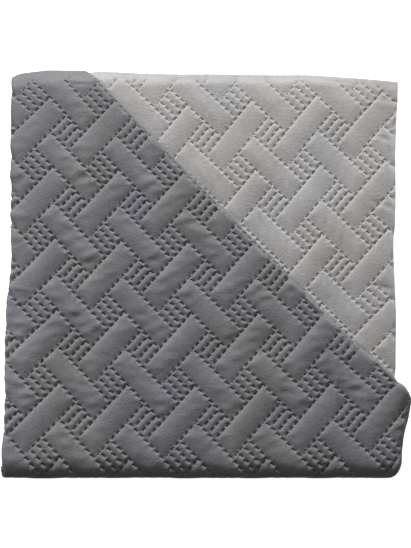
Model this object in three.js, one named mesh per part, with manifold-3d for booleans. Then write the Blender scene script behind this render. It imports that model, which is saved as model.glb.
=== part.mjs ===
// A quilted, reversible coverlet folded into a square pack, dark face up.
//
// The cloth is folded back and forth across its width into four layers. The strip this gives is
// folded along its length into five passes: the top pass wraps around the front edge down to the
// bottom pass, and the other three lie back and forth between them. The upper right corner of the
// top layer is folded under along a diagonal, so the light reverse of the second layer shows there.
//
// Millimetres, +X to the right, +Y to the back, +Z up. The origin is the middle of the footprint,
// on the surface that the pack rests on.

import * as THREE from 'three';
import { mergeVertices } from 'three/addons/utils/BufferGeometryUtils.js';
import Module from 'manifold-3d';

const wasm = await Module();
wasm.setup();

// Cloth and the spaces between its layers
const CLOTH = 2.0;
const LAYER_GAP = 0.4;
const PASS_GAP = 0.6;
const LAYERS = 4;

// Pack edges before they lean: the folds' centre lines at left and right, the hem at the back
const LEFT_FOLD = -192.5;
const RIGHT_FOLD = 185.5;
const HEM_Y = 203;
const FRONT_Y = -204;

// The second layer's hem slants from the diagonal fold to the right edge
const SECOND_HEM = { left: { x: -112, y: 200.5 }, right: { x: 195, y: 190.3 } };

// Line on which the top layer's corner is folded under, by the visible rim at its two ends
const RIM = { back: { x: -115, y: 198.5 }, front: { x: 188, y: -112.5 } };

// Extra height that the folded corner gives the top layer
const CORNER_LIFT = 2.9;

// The top layer hangs over the right side near the front, where it turns down by this angle
const OVERHANG = { turn: 1.7, smallest: 1.5, atWrap: 11.25 };
const OVERHANG_ROWS = [
  { y: -128, reach: 15 },
  { y: -150, reach: 16 },
  { y: -165, reach: 15 },
];
const BOTTOM_HEM_PEEK = 3.5;

// Quilting: a basket weave of long bars and small squares, set on the diagonal
const BAR_SWELL = 1.5;
const SQUARE_SWELL = 0.7;
const SEAM_RISE = 0.25;
const HEM_BAND = 9;
const TOP_QUILT = { repeatX: 66.8, repeatY: 70.6, startX: 0.496, startY: 0.05, leanX: 0.00083, leanY: 0 };
const SECOND_QUILT = {
  repeatX: 65.7, repeatY: 69.7, startX: 0.417, startY: 0.043, leanX: 0.00077, leanY: -0.00103,
};

// How the pack thins towards its sides and back, and how the back hems droop
const THINNING = { sides: 0.055, back: 0.045, width: 30 };
const BACK_DROOP = { from: 186, width: 17, fall: 5 };

// Places along the top pass where its form changes, from the hem to where the overhang starts
const TOP_ROWS = [HEM_Y, 197, 191, BACK_DROOP.from, HEM_Y - THINNING.width, 40, -108];

// Room that a trimming solid keeps to what it spares, and how far it reaches past the pack
const TRIM_ROOM = 0.5;
const PAST = 60;
const TALL = 120;

// Facets
const FOLD_FACETS = 5;
const WRAP_FACETS = 10;
const RIM_FACETS = 6;
const RIM_STATIONS = 28;
const RIM_CROWDING = 1.4; // stations crowd towards the back, where the hem droops

const LAYER_PITCH = CLOTH + LAYER_GAP;
const STRIP = LAYERS * LAYER_PITCH;
const HALF = CLOTH / 2;
const WRAP_RADIUS = (3 * STRIP + 4 * PASS_GAP) / 2;
const WRAP_Y = FRONT_Y + WRAP_RADIUS + STRIP;
const TOP_BASE = 4 * STRIP + 4 * PASS_GAP;
const TOP_LEVEL = 3.5 * LAYER_PITCH + CORNER_LIFT;
const SECOND_LEVEL = 2.5 * LAYER_PITCH;
const FLAP_LEVEL = (TOP_LEVEL + SECOND_LEVEL) / 2;

// One row for each pass, from the top down the cloth's length: how far its side folds stand from
// the nominal ones, and how far its front or back fold stops short of the pack's edge
const PASSES = [
  { pass: 'top', left: 0, right: 0, short: 0 },
  { pass: 'bottom', left: 1.5, right: -1.5, short: 15 },
  { pass: 'third', left: 3, right: -1, short: 6 },
  { pass: 'fourth', left: 0.5, right: -3, short: 17 },
  { pass: 'fifth', left: 2, right: -2, short: 9 },
];

const clamp = THREE.MathUtils.clamp;
const lerp = THREE.MathUtils.lerp;

/** A closed solid from points and triangles, turned inside out if its faces point inwards. */
function solidFrom(points, triangles) {
  const volume = triangles.reduce((sum, [a, b, c]) => {
    const cross = new THREE.Vector3().crossVectors(points[b], points[c]);
    return sum + points[a].dot(cross);
  }, 0);
  const faces = volume < 0 ? triangles.map(([a, b, c]) => [a, c, b]) : triangles;
  const mesh = new wasm.Mesh({
    numProp: 3,
    vertProperties: new Float32Array(points.flatMap((p) => [p.x, p.y, p.z])),
    triVerts: new Uint32Array(faces.flat()),
  });
  return new wasm.Manifold(mesh);
}

/** A closed solid through rings of equal length, its ends filled as the outline fills. */
function sweep(rings, outline) {
  const size = outline.length;
  const triangles = [];
  for (let row = 0; row + 1 < rings.length; row += 1) {
    for (let k = 0; k < size; k += 1) {
      const a = row * size + k;
      const b = row * size + ((k + 1) % size);
      triangles.push([a, b, b + size], [a, b + size, a + size]);
    }
  }
  const last = (rings.length - 1) * size;
  const anticlockwise = !THREE.ShapeUtils.isClockWise(outline);
  for (const [a, second, third] of THREE.ShapeUtils.triangulateShape(outline, [])) {
    const [b, c] = anticlockwise ? [second, third] : [third, second];
    triangles.push([a, c, b], [a + last, b + last, c + last]);
  }
  return solidFrom(rings.flat(), triangles);
}

/** An upright prism over an outline given anticlockwise. */
function prism(outline, low, high) {
  const geometry = new THREE.ExtrudeGeometry(new THREE.Shape(outline), {
    depth: high - low,
    bevelEnabled: false,
  });
  geometry.translate(0, 0, low);
  geometry.deleteAttribute('normal');
  geometry.deleteAttribute('uv');
  const merged = mergeVertices(geometry);
  const mesh = new wasm.Mesh({
    numProp: 3,
    vertProperties: merged.attributes.position.array,
    triVerts: new Uint32Array(merged.index.array),
  });
  return new wasm.Manifold(mesh);
}

/** How far the left and right edges stand from the nominal ones at a place along the pack. */
const leftLean = (y) => 0.7 + 0.0262 * y - 0.00005 * y * y;
const rightLean = (y) => 0.013 * y + 0.00005 * y * y;

/** The fall of the top pass where nothing lies under it at the back. */
function backDroop(y) {
  return BACK_DROOP.fall * clamp((y - BACK_DROOP.from) / BACK_DROOP.width, 0, 1) ** 2;
}

/** A point moved to where the pack's own leaning edges and thinner borders put it. */
function settle(x, y, z) {
  const share = (x - LEFT_FOLD) / (RIGHT_FOLD - LEFT_FOLD);
  const leant = x + lerp(leftLean(y), rightLean(y), share);
  const { sides, back, width } = THINNING;
  const fromLeft = clamp((LEFT_FOLD + width - x) / width, 0, 1);
  const fromRight = clamp((x - RIGHT_FOLD + width) / width, 0, 1);
  const fromBack = clamp((y - HEM_Y + width) / width, 0, 1);
  const thinning = sides * (fromLeft + fromRight) + back * fromBack;
  return new THREE.Vector3(leant, y, z * (1 - thinning));
}

/** A point at a height above a station of the strip's path. */
function above(station, x, height) {
  return settle(x, station.y + height * station.ny, station.z + height * station.nz);
}

/** A station of the top pass. */
function topStation(y) {
  return { y, z: TOP_BASE - backDroop(y), ny: 0, nz: 1 };
}

/** Stations along the whole strip, from the top pass's hem to the inner end. */
function stripStations() {
  const stations = [];
  const add = (station, fold) => stations.push({ ...station, ...fold });
  const [top, bottom, third, fourth, fifth] = PASSES;
  const { smallest, atWrap } = OVERHANG;
  const blend = (from, to, share) => ({
    left: lerp(from.left, to.left, share),
    right: lerp(from.right, to.right, share),
    lift: 0,
    reach: smallest,
  });

  // Top pass, hem to front: its overhang grows where the diagonal fold ends
  for (const y of TOP_ROWS) add(topStation(y), { ...blend(top, top, 0), lift: CORNER_LIFT });
  for (const { y, reach } of [...OVERHANG_ROWS, { y: WRAP_Y, reach: atWrap }]) {
    add(topStation(y), { ...blend(top, top, 0), lift: CORNER_LIFT, reach });
  }

  // Around the front edge, down to the bottom pass
  const wrapZ = STRIP + WRAP_RADIUS;
  for (let k = 1; k <= WRAP_FACETS; k += 1) {
    const share = k / WRAP_FACETS;
    const angle = Math.PI * share;
    add(
      {
        y: WRAP_Y - WRAP_RADIUS * Math.sin(angle),
        z: wrapZ + WRAP_RADIUS * Math.cos(angle),
        ny: -Math.sin(angle),
        nz: Math.cos(angle),
      },
      {
        ...blend(top, bottom, share),
        lift: CORNER_LIFT * (1 - share),
        reach: lerp(atWrap, smallest, Math.min(1, 1.4 * share)),
      },
    );
  }

  // A fold that turns back on itself, opening to the front (-1) or the back (+1)
  const turn = (side, from, to, z, outerIsBase) => {
    const radius = outerIsBase ? STRIP + PASS_GAP / 2 : PASS_GAP / 2;
    const y = side > 0 ? HEM_Y - from.short - STRIP : FRONT_Y + STRIP + from.short + WRAP_RADIUS / 2;
    const direction = outerIsBase ? -1 : 1;
    for (let k = 0; k <= FOLD_FACETS; k += 1) {
      const angle = (Math.PI * k) / FOLD_FACETS;
      add(
        {
          y: y + side * radius * Math.sin(angle),
          z: z - radius * Math.cos(angle),
          ny: direction * side * Math.sin(angle),
          nz: -direction * Math.cos(angle),
        },
        blend(from, to, k / FOLD_FACETS),
      );
    }
  };
  const gapAbove = (strips) => strips * STRIP + (strips - 0.5) * PASS_GAP;
  turn(1, bottom, third, gapAbove(1), false);
  turn(-1, third, fourth, gapAbove(2), true);
  turn(1, fourth, fifth, gapAbove(3), false);
  const endY = FRONT_Y + STRIP + WRAP_RADIUS + fifth.short;
  add({ y: endY, z: 3 * STRIP + 3 * PASS_GAP, ny: 0, nz: 1 }, blend(fifth, fifth, 0));
  return stations;
}

/** The four layers' outline across the strip, as offsets across and above its path. */
function layersOutline({ left, right, lift, reach }) {
  const leftX = LEFT_FOLD + left;
  const rightX = RIGHT_FOLD + right;
  const knots = [LEFT_FOLD + THINNING.width, RIGHT_FOLD - THINNING.width];
  const levels = [3.5, 2.5, 1.5, 0.5].map((n) => n * LAYER_PITCH);
  levels[0] += lift;
  const line = [];
  const along = (x, height, angle) => {
    line.push({ x, height, across: Math.sin(angle), up: Math.cos(angle) });
  };

  // The top layer's right end turns down where it hangs over the side
  const furthest = OVERHANG.turn * clamp((reach - OVERHANG.smallest) / 8, 0, 1);
  for (const share of [1, 0.8, 0.6, 0.4, 0.2, 0]) {
    const angle = share * furthest;
    const stretch = share * OVERHANG.smallest * (1 - furthest / OVERHANG.turn);
    along(rightX + reach * Math.sin(angle) + stretch, levels[0] - reach * (1 - Math.cos(angle)), angle);
  }
  const bend = (x, upper, lower, side, darkOutside) => {
    const middle = (upper + lower) / 2;
    const radius = (upper - lower) / 2;
    for (let k = 0; k <= FOLD_FACETS; k += 1) {
      const angle = (Math.PI * k) / FOLD_FACETS;
      const facing = darkOutside ? side * angle : side * angle + Math.PI;
      along(x + side * radius * Math.sin(angle), middle + radius * Math.cos(angle), facing);
    }
  };
  along(knots[1], levels[0], 0);
  along(knots[0], levels[0], 0);
  bend(leftX, levels[0], levels[1], -1, true);
  along(knots[0], levels[1], Math.PI);
  along(knots[1], levels[1], Math.PI);
  bend(rightX, levels[1], levels[2], 1, false);
  along(knots[1], levels[2], 0);
  along(knots[0], levels[2], 0);
  bend(leftX, levels[2], levels[3], -1, true);
  along(knots[0], levels[3], Math.PI);
  along(knots[1], levels[3], Math.PI);
  along(rightX, levels[3], Math.PI);
  along(rightX + LAYER_PITCH / 2 + HALF + BOTTOM_HEM_PEEK, levels[3], Math.PI);

  const face = (side) => line.map((p) => new THREE.Vector2(
    p.x + side * HALF * p.across,
    p.height + side * HALF * p.up,
  ));
  return [...face(1), ...face(-1).reverse()];
}

/** A solid over the top pass from an outline of offsets across and above the pass. */
function topPassSolid(outline, rows) {
  const rings = rows.map((y) => outline.map((p) => above(topStation(y), p.x, p.y)));
  return sweep(rings, outline);
}

// The diagonal fold's own line lies inside its visible rim by the rim's roundness
const RIM_RADIUS = (TOP_LEVEL - FLAP_LEVEL) / 2;
const RIM_ALONG = new THREE.Vector2(RIM.front.x - RIM.back.x, RIM.front.y - RIM.back.y).normalize();
const RIM_OUT = new THREE.Vector2(-RIM_ALONG.y, RIM_ALONG.x);
const rimPoint = (y, out) => {
  const x = RIM.back.x + ((y - RIM.back.y) * RIM_ALONG.x) / RIM_ALONG.y;
  return new THREE.Vector2(x, y).addScaledVector(RIM_OUT, out);
};

/** The region beyond the diagonal fold, moved out by a distance. */
function beyondRim(out) {
  const back = rimPoint(HEM_Y + PAST, out);
  const front = rimPoint(RIM.front.y - PAST, out);
  const side = RIGHT_FOLD + 2 * PAST;
  return [back, front, new THREE.Vector2(side, front.y), new THREE.Vector2(side, back.y)];
}

/** The space over the second layer beyond the diagonal fold, from which the top layer is taken. */
function cornerCut() {
  const floor = SECOND_LEVEL + HALF + BAR_SWELL + 0.5 * LAYER_GAP;
  const bottomHem = LAYER_PITCH + HALF;
  const bend = RIGHT_FOLD + LAYER_PITCH / 2 + HALF + TRIM_ROOM;
  const peek = bend + BOTTOM_HEM_PEEK + TRIM_ROOM;
  const left = RIM.back.x - PAST;
  const right = peek + PAST;
  const high = TOP_LEVEL + PAST;
  const low = -2 * STRIP;
  const outline = [
    [left, high], [left, floor], [RIGHT_FOLD - THINNING.width, floor], [RIGHT_FOLD, floor], [bend, floor],
    [bend, bottomHem], [peek, bottomHem], [peek, low], [right, low], [right, high],
  ].map(([x, height]) => new THREE.Vector2(x, height));
  const slab = topPassSolid(outline, [HEM_Y + PAST, ...TOP_ROWS, RIM.front.y - PAST]);
  return slab.intersect(prism(beyondRim(-RIM_RADIUS - HALF), 0, TALL));
}

/** The space behind the slanting hem of the second to fourth layers. */
function hemCut() {
  const ceiling = SECOND_LEVEL + HALF + 0.5 * LAYER_GAP;
  const floor = -TRIM_ROOM;
  const start = LEFT_FOLD + THINNING.width;
  const knot = RIGHT_FOLD - THINNING.width;
  const end = RIGHT_FOLD + PAST;
  const outline = [
    [start, ceiling], [start, floor], [knot, floor], [RIGHT_FOLD, floor], [end, floor],
    [end, ceiling], [RIGHT_FOLD, ceiling], [knot, ceiling],
  ].map(([x, height]) => new THREE.Vector2(x, height));
  const slab = topPassSolid(outline, [HEM_Y + PAST, ...TOP_ROWS]);
  const { left, right } = SECOND_HEM;
  const behind = HEM_Y + PAST / 2;
  const hem = [
    [left.x - PAST, left.y], [left.x, left.y], [right.x, right.y], [end, right.y], [end, behind],
    [left.x - PAST, behind],
  ].map(([x, y]) => new THREE.Vector2(x, y));
  return slab.intersect(prism(hem, 0, TALL));
}

/** The rounded diagonal fold and the corner that it tucks under the top layer. */
function foldedCorner() {
  const back = HEM_Y - 0.3;
  const start = rimPoint(back, -RIM_RADIUS - HALF);
  const end = rimPoint(RIM.front.y, -RIM_RADIUS - HALF);
  const length = start.distanceTo(end);
  const hemAngle = Math.atan2(RIM_OUT.x, RIM_OUT.y);
  const thick = HALF + 0.05;
  const middle = (TOP_LEVEL + FLAP_LEVEL) / 2;
  const rings = [];
  let outline = [];
  for (let k = 0; k <= RIM_STATIONS; k += 1) {
    const run = length * (k / RIM_STATIONS) ** RIM_CROWDING;
    const corner = Math.min(run * Math.tan(hemAngle), (length - run) / Math.tan(hemAngle));
    const width = Math.max(5, corner);
    const line = [-4, -0.5].map((out) => ({ out, height: TOP_LEVEL, angle: 0 }));
    for (let facet = 0; facet <= RIM_FACETS; facet += 1) {
      const angle = (Math.PI * facet) / RIM_FACETS;
      line.push({ out: RIM_RADIUS * Math.sin(angle), height: middle + RIM_RADIUS * Math.cos(angle), angle });
    }
    for (const share of [0.2, 0.5, 0.75, 1]) {
      line.push({ out: -share * width, height: FLAP_LEVEL, angle: Math.PI });
    }
    const face = (side) => line.map((p) => new THREE.Vector2(
      p.out + side * thick * Math.sin(p.angle),
      p.height + side * thick * Math.cos(p.angle),
    ));
    outline = [...face(1), ...face(-1).reverse()];
    const base = start.clone().addScaledVector(RIM_ALONG, run);
    rings.push(outline.map((p) => {
      const spot = base.clone().addScaledVector(RIM_OUT, p.x);
      return settleUpright(spot.x, Math.min(spot.y, back), p.y);
    }));
  }
  return sweep(rings, outline);
}

/** A point over the top pass whose place across is already the leant one. */
function settleUpright(x, y, height) {
  const station = topStation(y);
  const settled = above(station, x, height);
  return new THREE.Vector3(x, y, settled.z);
}

/** Height of the quilting at a place counted in repeats: seams lie between unit blocks. */
function swell(cellX, cellY) {
  const along = 2 * (cellX + cellY);
  const across = 2 * (cellX - cellY);
  const column = Math.round(along);
  const row = Math.round(across);
  const oddColumn = Math.abs(column % 2) === 1;
  const oddRow = Math.abs(row % 2) === 1;
  const hump = (offset) => 1 - (2 * offset) ** 2;
  const a = along - column;
  const b = across - row;
  if (oddColumn && oddRow) return SQUARE_SWELL * Math.max(0, hump(a) * hump(b));
  const risingMiddle = !oddColumn && !oddRow && Math.abs(((column + row) / 2) % 2) === 0;
  if (risingMiddle) return BAR_SWELL * hump(b);
  if (!oddColumn && !oddRow) return BAR_SWELL * hump(a);
  return BAR_SWELL * (oddColumn ? hump(b) : hump(a));
}

/** Share of the swell that the cloth keeps where it is drawn tight around the front. */
const calm = (y) => clamp(1 - (WRAP_Y - y) / (1.3 * (WRAP_RADIUS + STRIP)), 0, 1);

/** A quilted skin over a layer: raised above its face, sunk into its thickness below. */
function quiltedSkin(quilt, level, cells, place) {
  const { firstX, lastX, firstY, lastY } = cells;
  const columns = (lastX - firstX) * 4 + 1;
  const rows = (lastY - firstY) * 4 + 1;
  const points = [];
  const triangles = [];
  const spot = (cellX, cellY, height) => {
    const repeatsX = cellX - quilt.startX;
    const repeatsY = cellY - quilt.startY;
    const spread = 1 / (quilt.repeatX * quilt.repeatY) - quilt.leanX * quilt.leanY;
    const x = (repeatsX / quilt.repeatY - quilt.leanX * repeatsY) / spread;
    const y = (repeatsY / quilt.repeatX - quilt.leanY * repeatsX) / spread;
    return place(x, y, height);
  };
  const add = (cellX, cellY, height) => points.push(spot(cellX, cellY, height)) - 1;
  const top = level + HALF + SEAM_RISE;
  const raised = (cellX, cellY) => {
    const y = (cellY - quilt.startY) * quilt.repeatY;
    return top + swell(cellX, cellY) * calm(y);
  };
  for (let row = 0; row < rows; row += 1) {
    for (let column = 0; column < columns; column += 1) {
      const cellX = firstX + column / 4;
      const cellY = firstY + row / 4;
      add(cellX, cellY, raised(cellX, cellY));
      add(cellX, cellY, level);
    }
  }
  for (let row = 0; row + 1 < rows; row += 1) {
    for (let column = 0; column + 1 < columns; column += 1) {
      const cellX = firstX + (column + 0.5) / 4;
      const cellY = firstY + (row + 0.5) / 4;
      const centre = add(cellX, cellY, raised(cellX, cellY));
      const near = 2 * (row * columns + column);
      const far = near + 2 * columns;
      const ring = [near, near + 2, far + 2, far];
      ring.forEach((corner, k) => triangles.push([corner, ring[(k + 1) % 4], centre]));
      triangles.push([near + 1, far + 3, near + 3], [near + 1, far + 1, far + 3]);
    }
  }
  const wall = (a, b) => triangles.push([a, a + 1, b + 1], [a, b + 1, b]);
  for (let column = 0; column + 1 < columns; column += 1) {
    const last = (rows - 1) * columns;
    wall(2 * column, 2 * column + 2);
    wall(2 * (last + column + 1), 2 * (last + column));
  }
  for (let row = 0; row + 1 < rows; row += 1) {
    wall(2 * (row + 1) * columns, 2 * row * columns);
    wall(2 * (row * columns + columns - 1), 2 * ((row + 1) * columns + columns - 1));
  }
  return solidFrom(points, triangles);
}

/** A point over the top pass, or over the front wrap where the cloth runs on past it. */
function overTopPass(x, y, height) {
  if (y >= WRAP_Y) return above(topStation(y), x, height);
  const angle = (WRAP_Y - y) / (WRAP_RADIUS + STRIP + CORNER_LIFT / 2);
  const lowered = height - (CORNER_LIFT * angle) / Math.PI;
  const station = {
    y: WRAP_Y - WRAP_RADIUS * Math.sin(angle),
    z: STRIP + WRAP_RADIUS + WRAP_RADIUS * Math.cos(angle),
    ny: -Math.sin(angle),
    nz: Math.cos(angle),
  };
  return above(station, x, lowered);
}

/** The top layer's quilting, up to its hem band, the diagonal fold and the side folds. */
function topQuilting() {
  const cells = { firstX: -3, lastX: 4, firstY: -3, lastY: 3 };
  const skin = quiltedSkin(TOP_QUILT, TOP_LEVEL, cells, overTopPass);
  const hem = HEM_Y - 1.5 * HEM_BAND;
  const front = FRONT_Y - PAST;
  const left = (y) => LEFT_FOLD + leftLean(y) + 2;
  const right = RIGHT_FOLD - 1.5;
  const region = [
    [right, front], [right, RIM.front.y], [RIM.back.x, hem], [left(hem), hem], [left(20), 20],
    [left(-150), -150], [left(FRONT_Y), front],
  ];
  const shape = prism(region.map(([x, y]) => new THREE.Vector2(x, y)), STRIP + WRAP_RADIUS / 2, TALL);
  return skin.intersect(shape).subtract(prism(beyondRim(-RIM_RADIUS - HALF - 1.5), 0, TALL + 1));
}

/** The second layer's quilting, where its light reverse shows. */
function secondQuilting() {
  const place = (x, y, height) => above(topStation(y), x, height);
  const cells = { firstX: -2, lastX: 4, firstY: -3, lastY: 4 };
  const skin = quiltedSkin(SECOND_QUILT, SECOND_LEVEL, cells, place);
  const { left, right } = SECOND_HEM;
  const side = RIGHT_FOLD + 1.5;
  const region = [
    [left.x - PAST, left.y - HEM_BAND], [side, RIM.front.y - PAST], [side, right.y - HEM_BAND],
  ];
  const shape = prism(region.map(([x, y]) => new THREE.Vector2(x, y)), 0, TALL);
  return skin.intersect(shape).intersect(prism(beyondRim(RIM_RADIUS + HALF), 0, TALL + 1));
}

/** The whole folded cloth, without the crumbs that trimming leaves beside it. */
function coverletSolid() {
  const stations = stripStations();
  const rings = stations.map((station) => layersOutline(station).map((p) => above(station, p.x, p.y)));
  const bodies = sweep(rings, layersOutline(stations[0]))
    .subtract(cornerCut())
    .subtract(hemCut())
    .add(foldedCorner())
    .add(topQuilting())
    .add(secondQuilting())
    .decompose();
  return bodies.reduce((largest, body) => (body.volume() > largest.volume() ? body : largest));
}

/** A solid as drawable geometry, moved so that its footprint is centred on the origin. */
function centredGeometry(solid) {
  const mesh = solid.getMesh();
  const geometry = new THREE.BufferGeometry();
  geometry.setAttribute('position', new THREE.BufferAttribute(new Float32Array(mesh.vertProperties), 3));
  geometry.setIndex(new THREE.BufferAttribute(new Uint32Array(mesh.triVerts), 1));
  geometry.computeBoundingBox();
  const { min, max } = geometry.boundingBox;
  geometry.translate(-(min.x + max.x) / 2, -(min.y + max.y) / 2, -min.z);
  geometry.computeVertexNormals();
  return geometry;
}

const darkCloth = new THREE.MeshStandardMaterial({ color: 0x6f7176, roughness: 0.72, metalness: 0 });

const coverlet = new THREE.Mesh(centredGeometry(coverletSolid()), darkCloth);
coverlet.name = 'coverlet';

const pack = new THREE.Group();
pack.add(coverlet);

export default pack;
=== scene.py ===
"""A quilted, reversible coverlet folded into a square pack, dark face up.

The cloth is one flat sheet of two faces. Each face is drawn flat, in millimetres across and along
the cloth, and a fold plan then lays every point where it lies in the pack: four layers across, five
passes along, and the top layer's corner turned under on a diagonal.
"""
from __future__ import annotations

import logging
import math
from collections.abc import Iterable, Sequence
from dataclasses import dataclass, field
from enum import Enum

import bpy
import numpy as np
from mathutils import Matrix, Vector
from mathutils.geometry import delaunay_2d_cdt


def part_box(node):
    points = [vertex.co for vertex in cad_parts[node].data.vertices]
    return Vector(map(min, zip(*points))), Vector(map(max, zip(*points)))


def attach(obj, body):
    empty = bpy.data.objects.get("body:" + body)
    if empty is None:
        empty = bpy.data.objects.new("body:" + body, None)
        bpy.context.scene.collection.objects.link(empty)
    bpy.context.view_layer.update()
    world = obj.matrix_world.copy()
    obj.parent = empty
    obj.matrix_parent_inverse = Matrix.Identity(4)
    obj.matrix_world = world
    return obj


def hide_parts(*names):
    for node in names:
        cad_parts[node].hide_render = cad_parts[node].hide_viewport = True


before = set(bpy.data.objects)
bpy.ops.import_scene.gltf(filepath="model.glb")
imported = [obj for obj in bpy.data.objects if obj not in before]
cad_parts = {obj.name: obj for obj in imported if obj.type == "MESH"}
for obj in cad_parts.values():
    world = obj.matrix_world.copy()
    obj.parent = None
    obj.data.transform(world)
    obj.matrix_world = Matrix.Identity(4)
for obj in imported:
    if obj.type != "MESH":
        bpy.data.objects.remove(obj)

LOG = logging.getLogger("coverlet")
MM = 0.001
Array = np.ndarray
Place = tuple[float, float]
# Where something starts, and over how far it grows
Span = tuple[float, float]
Colour = tuple[float, float, float, float]
Socket = bpy.types.NodeSocket
Tree = bpy.types.NodeTree


class Face(Enum):
    """The two faces of the cloth, by the side of its middle on which they lie."""

    DARK = 1
    LIGHT = -1


def blend(first: Array | float, second: Array | float, share: Array | float) -> Array | float:
    """Return the value a share of the way from the first to the second."""
    return first + (second - first) * share


def smooth(share: Array | float) -> Array:
    """Return a share held between 0 and 1 and eased at both ends."""
    held = np.clip(share, 0.0, 1.0)
    return held * held * (3.0 - 2.0 * held)


def risen(value: Array, span: Span) -> Array:
    """Return how far a value has risen along a span, from 0 to 1, eased at both ends."""
    return smooth((value - span[0]) / span[1])


def look_up(table: Sequence[Place], places: Array) -> Array:
    """Read a table of places and values at other places, straight between its rows."""
    return np.interp(places, *zip(*table))


def ripple(x: Array, y: Array, length: float, seed: int, stretch: float = 1.0) -> Array:
    """A smooth, uneven field between about -1 and 1.

    Args:
        x: Places across, in mm.
        y: Places along, in mm.
        length: Distance between like waves, in mm.
        seed: Which field it is.
        stretch: How much longer the waves are along y than across.

    Returns:
        The field's height at each place.
    """
    chance = np.random.default_rng(seed)
    total = np.zeros(np.broadcast(x, y).shape)
    waves = 7
    for _ in range(waves):
        angle = chance.uniform(0.0, math.tau)
        wave = chance.uniform(0.6, 1.5) * math.tau / length
        turn = chance.uniform(0.0, math.tau)
        total += np.sin(wave * (x * math.cos(angle) + y * math.sin(angle) / stretch) + turn)
    return total / math.sqrt(waves)


@dataclass(frozen=True)
class WeldRows:
    """A family of rows of weld dashes, in widths of a block.

    The quilting is a basket weave of bars, three blocks long, and single squares. Rows run along
    one of its two directions, beside every second block row's middle line, and each row holds the
    same group of dashes once in four blocks.
    """

    rising: bool
    odd: int
    beside: float
    sense: int
    shift: float
    dashes: int

    def measure(self, u: Array, v: Array) -> tuple[Array, Array, Array]:
        """Measure from places to the nearest row of this family.

        Args:
            u: Places along the rising direction.
            v: Places along the falling direction.

        Returns:
            How far the place lies in front of the row, the place along the group of dashes nearest
            to it, counted from the group's middle, and how far it lies past the middle of the
            nearest dash.
        """
        run, across = (u, v) if self.rising else (v, u)
        middle = 2.0 * np.round((across - self.odd) / 2.0) + self.odd
        beyond = across - middle
        away = (beyond - np.copysign(self.beside, beyond)) * self.front
        place = np.mod(run + self.sense * middle - self.shift + 2.0, 4.0) - 2.0
        half = self.half
        number = np.round(place / WELD_PITCH - half)
        last = self.dashes // 2
        number = np.clip(number, -last, last - 2 * half)
        return away, place, place - (number + half) * WELD_PITCH

    def from_dash(self, away: Array, along: Array, slants: tuple[float, float]) -> Array:
        """Measure to the middle line of a dash.

        Args:
            away: How far places lie in front of the row.
            along: How far they lie past the dash's middle.
            slants: How steeply rising and falling dashes run to the front of their rows.

        Returns:
            The distances, in mm.
        """
        past = np.maximum(np.abs(along) * BLOCK - (WELD_HALF_LENGTH - WELD_HALF_WIDTH), 0.0)
        return np.hypot(past, (away - self.slant(slants) * along) * BLOCK - WELD_FRONT)

    @property
    def front(self) -> int:
        """Sense in which the way across the rows leads to the front."""
        return 1 if self.rising else -1

    @property
    def half(self) -> float:
        """Half a pitch, by which an even number of dashes stands off the middle, or nothing."""
        return 0.5 if self.dashes % 2 == 0 else 0.0

    def slant(self, slants: tuple[float, float]) -> float:
        """Return this family's slant from those of rising and falling dashes."""
        return slants[0] if self.rising else slants[1]

    def reach(self) -> float:
        """Return how far a row reaches from its group's middle."""
        return 1.5 if self.beside == 0.5 else 0.5


BLOCK = 24.2
WELD_PITCH = 2.0 / 7.0
WELD_HALF_LENGTH = 2.75
WELD_HALF_WIDTH = 1.15
WELD_FRONT = 1.1
WELD_FAMILIES = (
    WeldRows(rising=True, odd=0, beside=0.5, sense=-1, shift=0.0, dashes=10),
    WeldRows(rising=False, odd=0, beside=0.5, sense=-1, shift=2.0, dashes=10),
    WeldRows(rising=True, odd=1, beside=1 / 6, sense=1, shift=2.0, dashes=3),
    WeldRows(rising=False, odd=1, beside=1 / 6, sense=1, shift=0.0, dashes=3),
)


@dataclass(frozen=True)
class Quilting:
    """Where the basket weave lies on a face, in cells of one repeat.

    Places are in hundreds of millimetres from the pack's middle. Each axis has its start, its
    growth across and back, and how both drift over the pack. Its slants are how steeply rising and
    falling dashes run to the front of their rows.
    """

    start: tuple[float, float]
    across: tuple[float, float]
    back: tuple[float, float]
    drift: tuple[tuple[float, float, float], tuple[float, float, float]]
    slants: tuple[float, float]

    def blocks(self, x: Array, y: Array) -> tuple[Array, Array]:
        """Return places in block widths along the rising and falling directions."""
        cell = self.cells(x, y)
        return 2.0 * (cell[0] + cell[1]), 2.0 * (cell[0] - cell[1])

    def cells(self, x: Array, y: Array) -> tuple[Array, Array]:
        """Count places in repeats.

        Args:
            x: Places to the right, in mm.
            y: Places to the back, in mm.

        Returns:
            Repeats to the right and to the back.
        """
        a, b = x / 100.0, y / 100.0
        near_a, near_b = np.clip(a, -2.1, 2.1), np.clip(b, -2.1, 2.1)
        counts = []
        for axis in (0, 1):
            squared, crossed, deep = self.drift[axis]
            count = self.start[axis] + self.across[axis] * a + self.back[axis] * b
            count = count + squared * near_a**2 + crossed * near_a * near_b + deep * near_b**2
            counts.append(count)
        return counts[0], counts[1]

    def place(self, u: Array, v: Array) -> tuple[Array, Array]:
        """Find the place of blocks on the pack.

        Args:
            u: Block widths along the rising direction.
            v: Block widths along the falling direction.

        Returns:
            Places to the right and to the back, in mm.
        """
        goal = ((u + v) / 4.0, (u - v) / 4.0)
        determinant = self.across[0] * self.back[1] - self.across[1] * self.back[0]
        x, y = np.zeros_like(u), np.zeros_like(u)
        for _ in range(8):
            count = self.cells(x, y)
            gap = (goal[0] - count[0], goal[1] - count[1])
            x = x + 100.0 * (gap[0] * self.back[1] - gap[1] * self.back[0]) / determinant
            y = y + 100.0 * (gap[1] * self.across[0] - gap[0] * self.across[1]) / determinant
        return x, y


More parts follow.
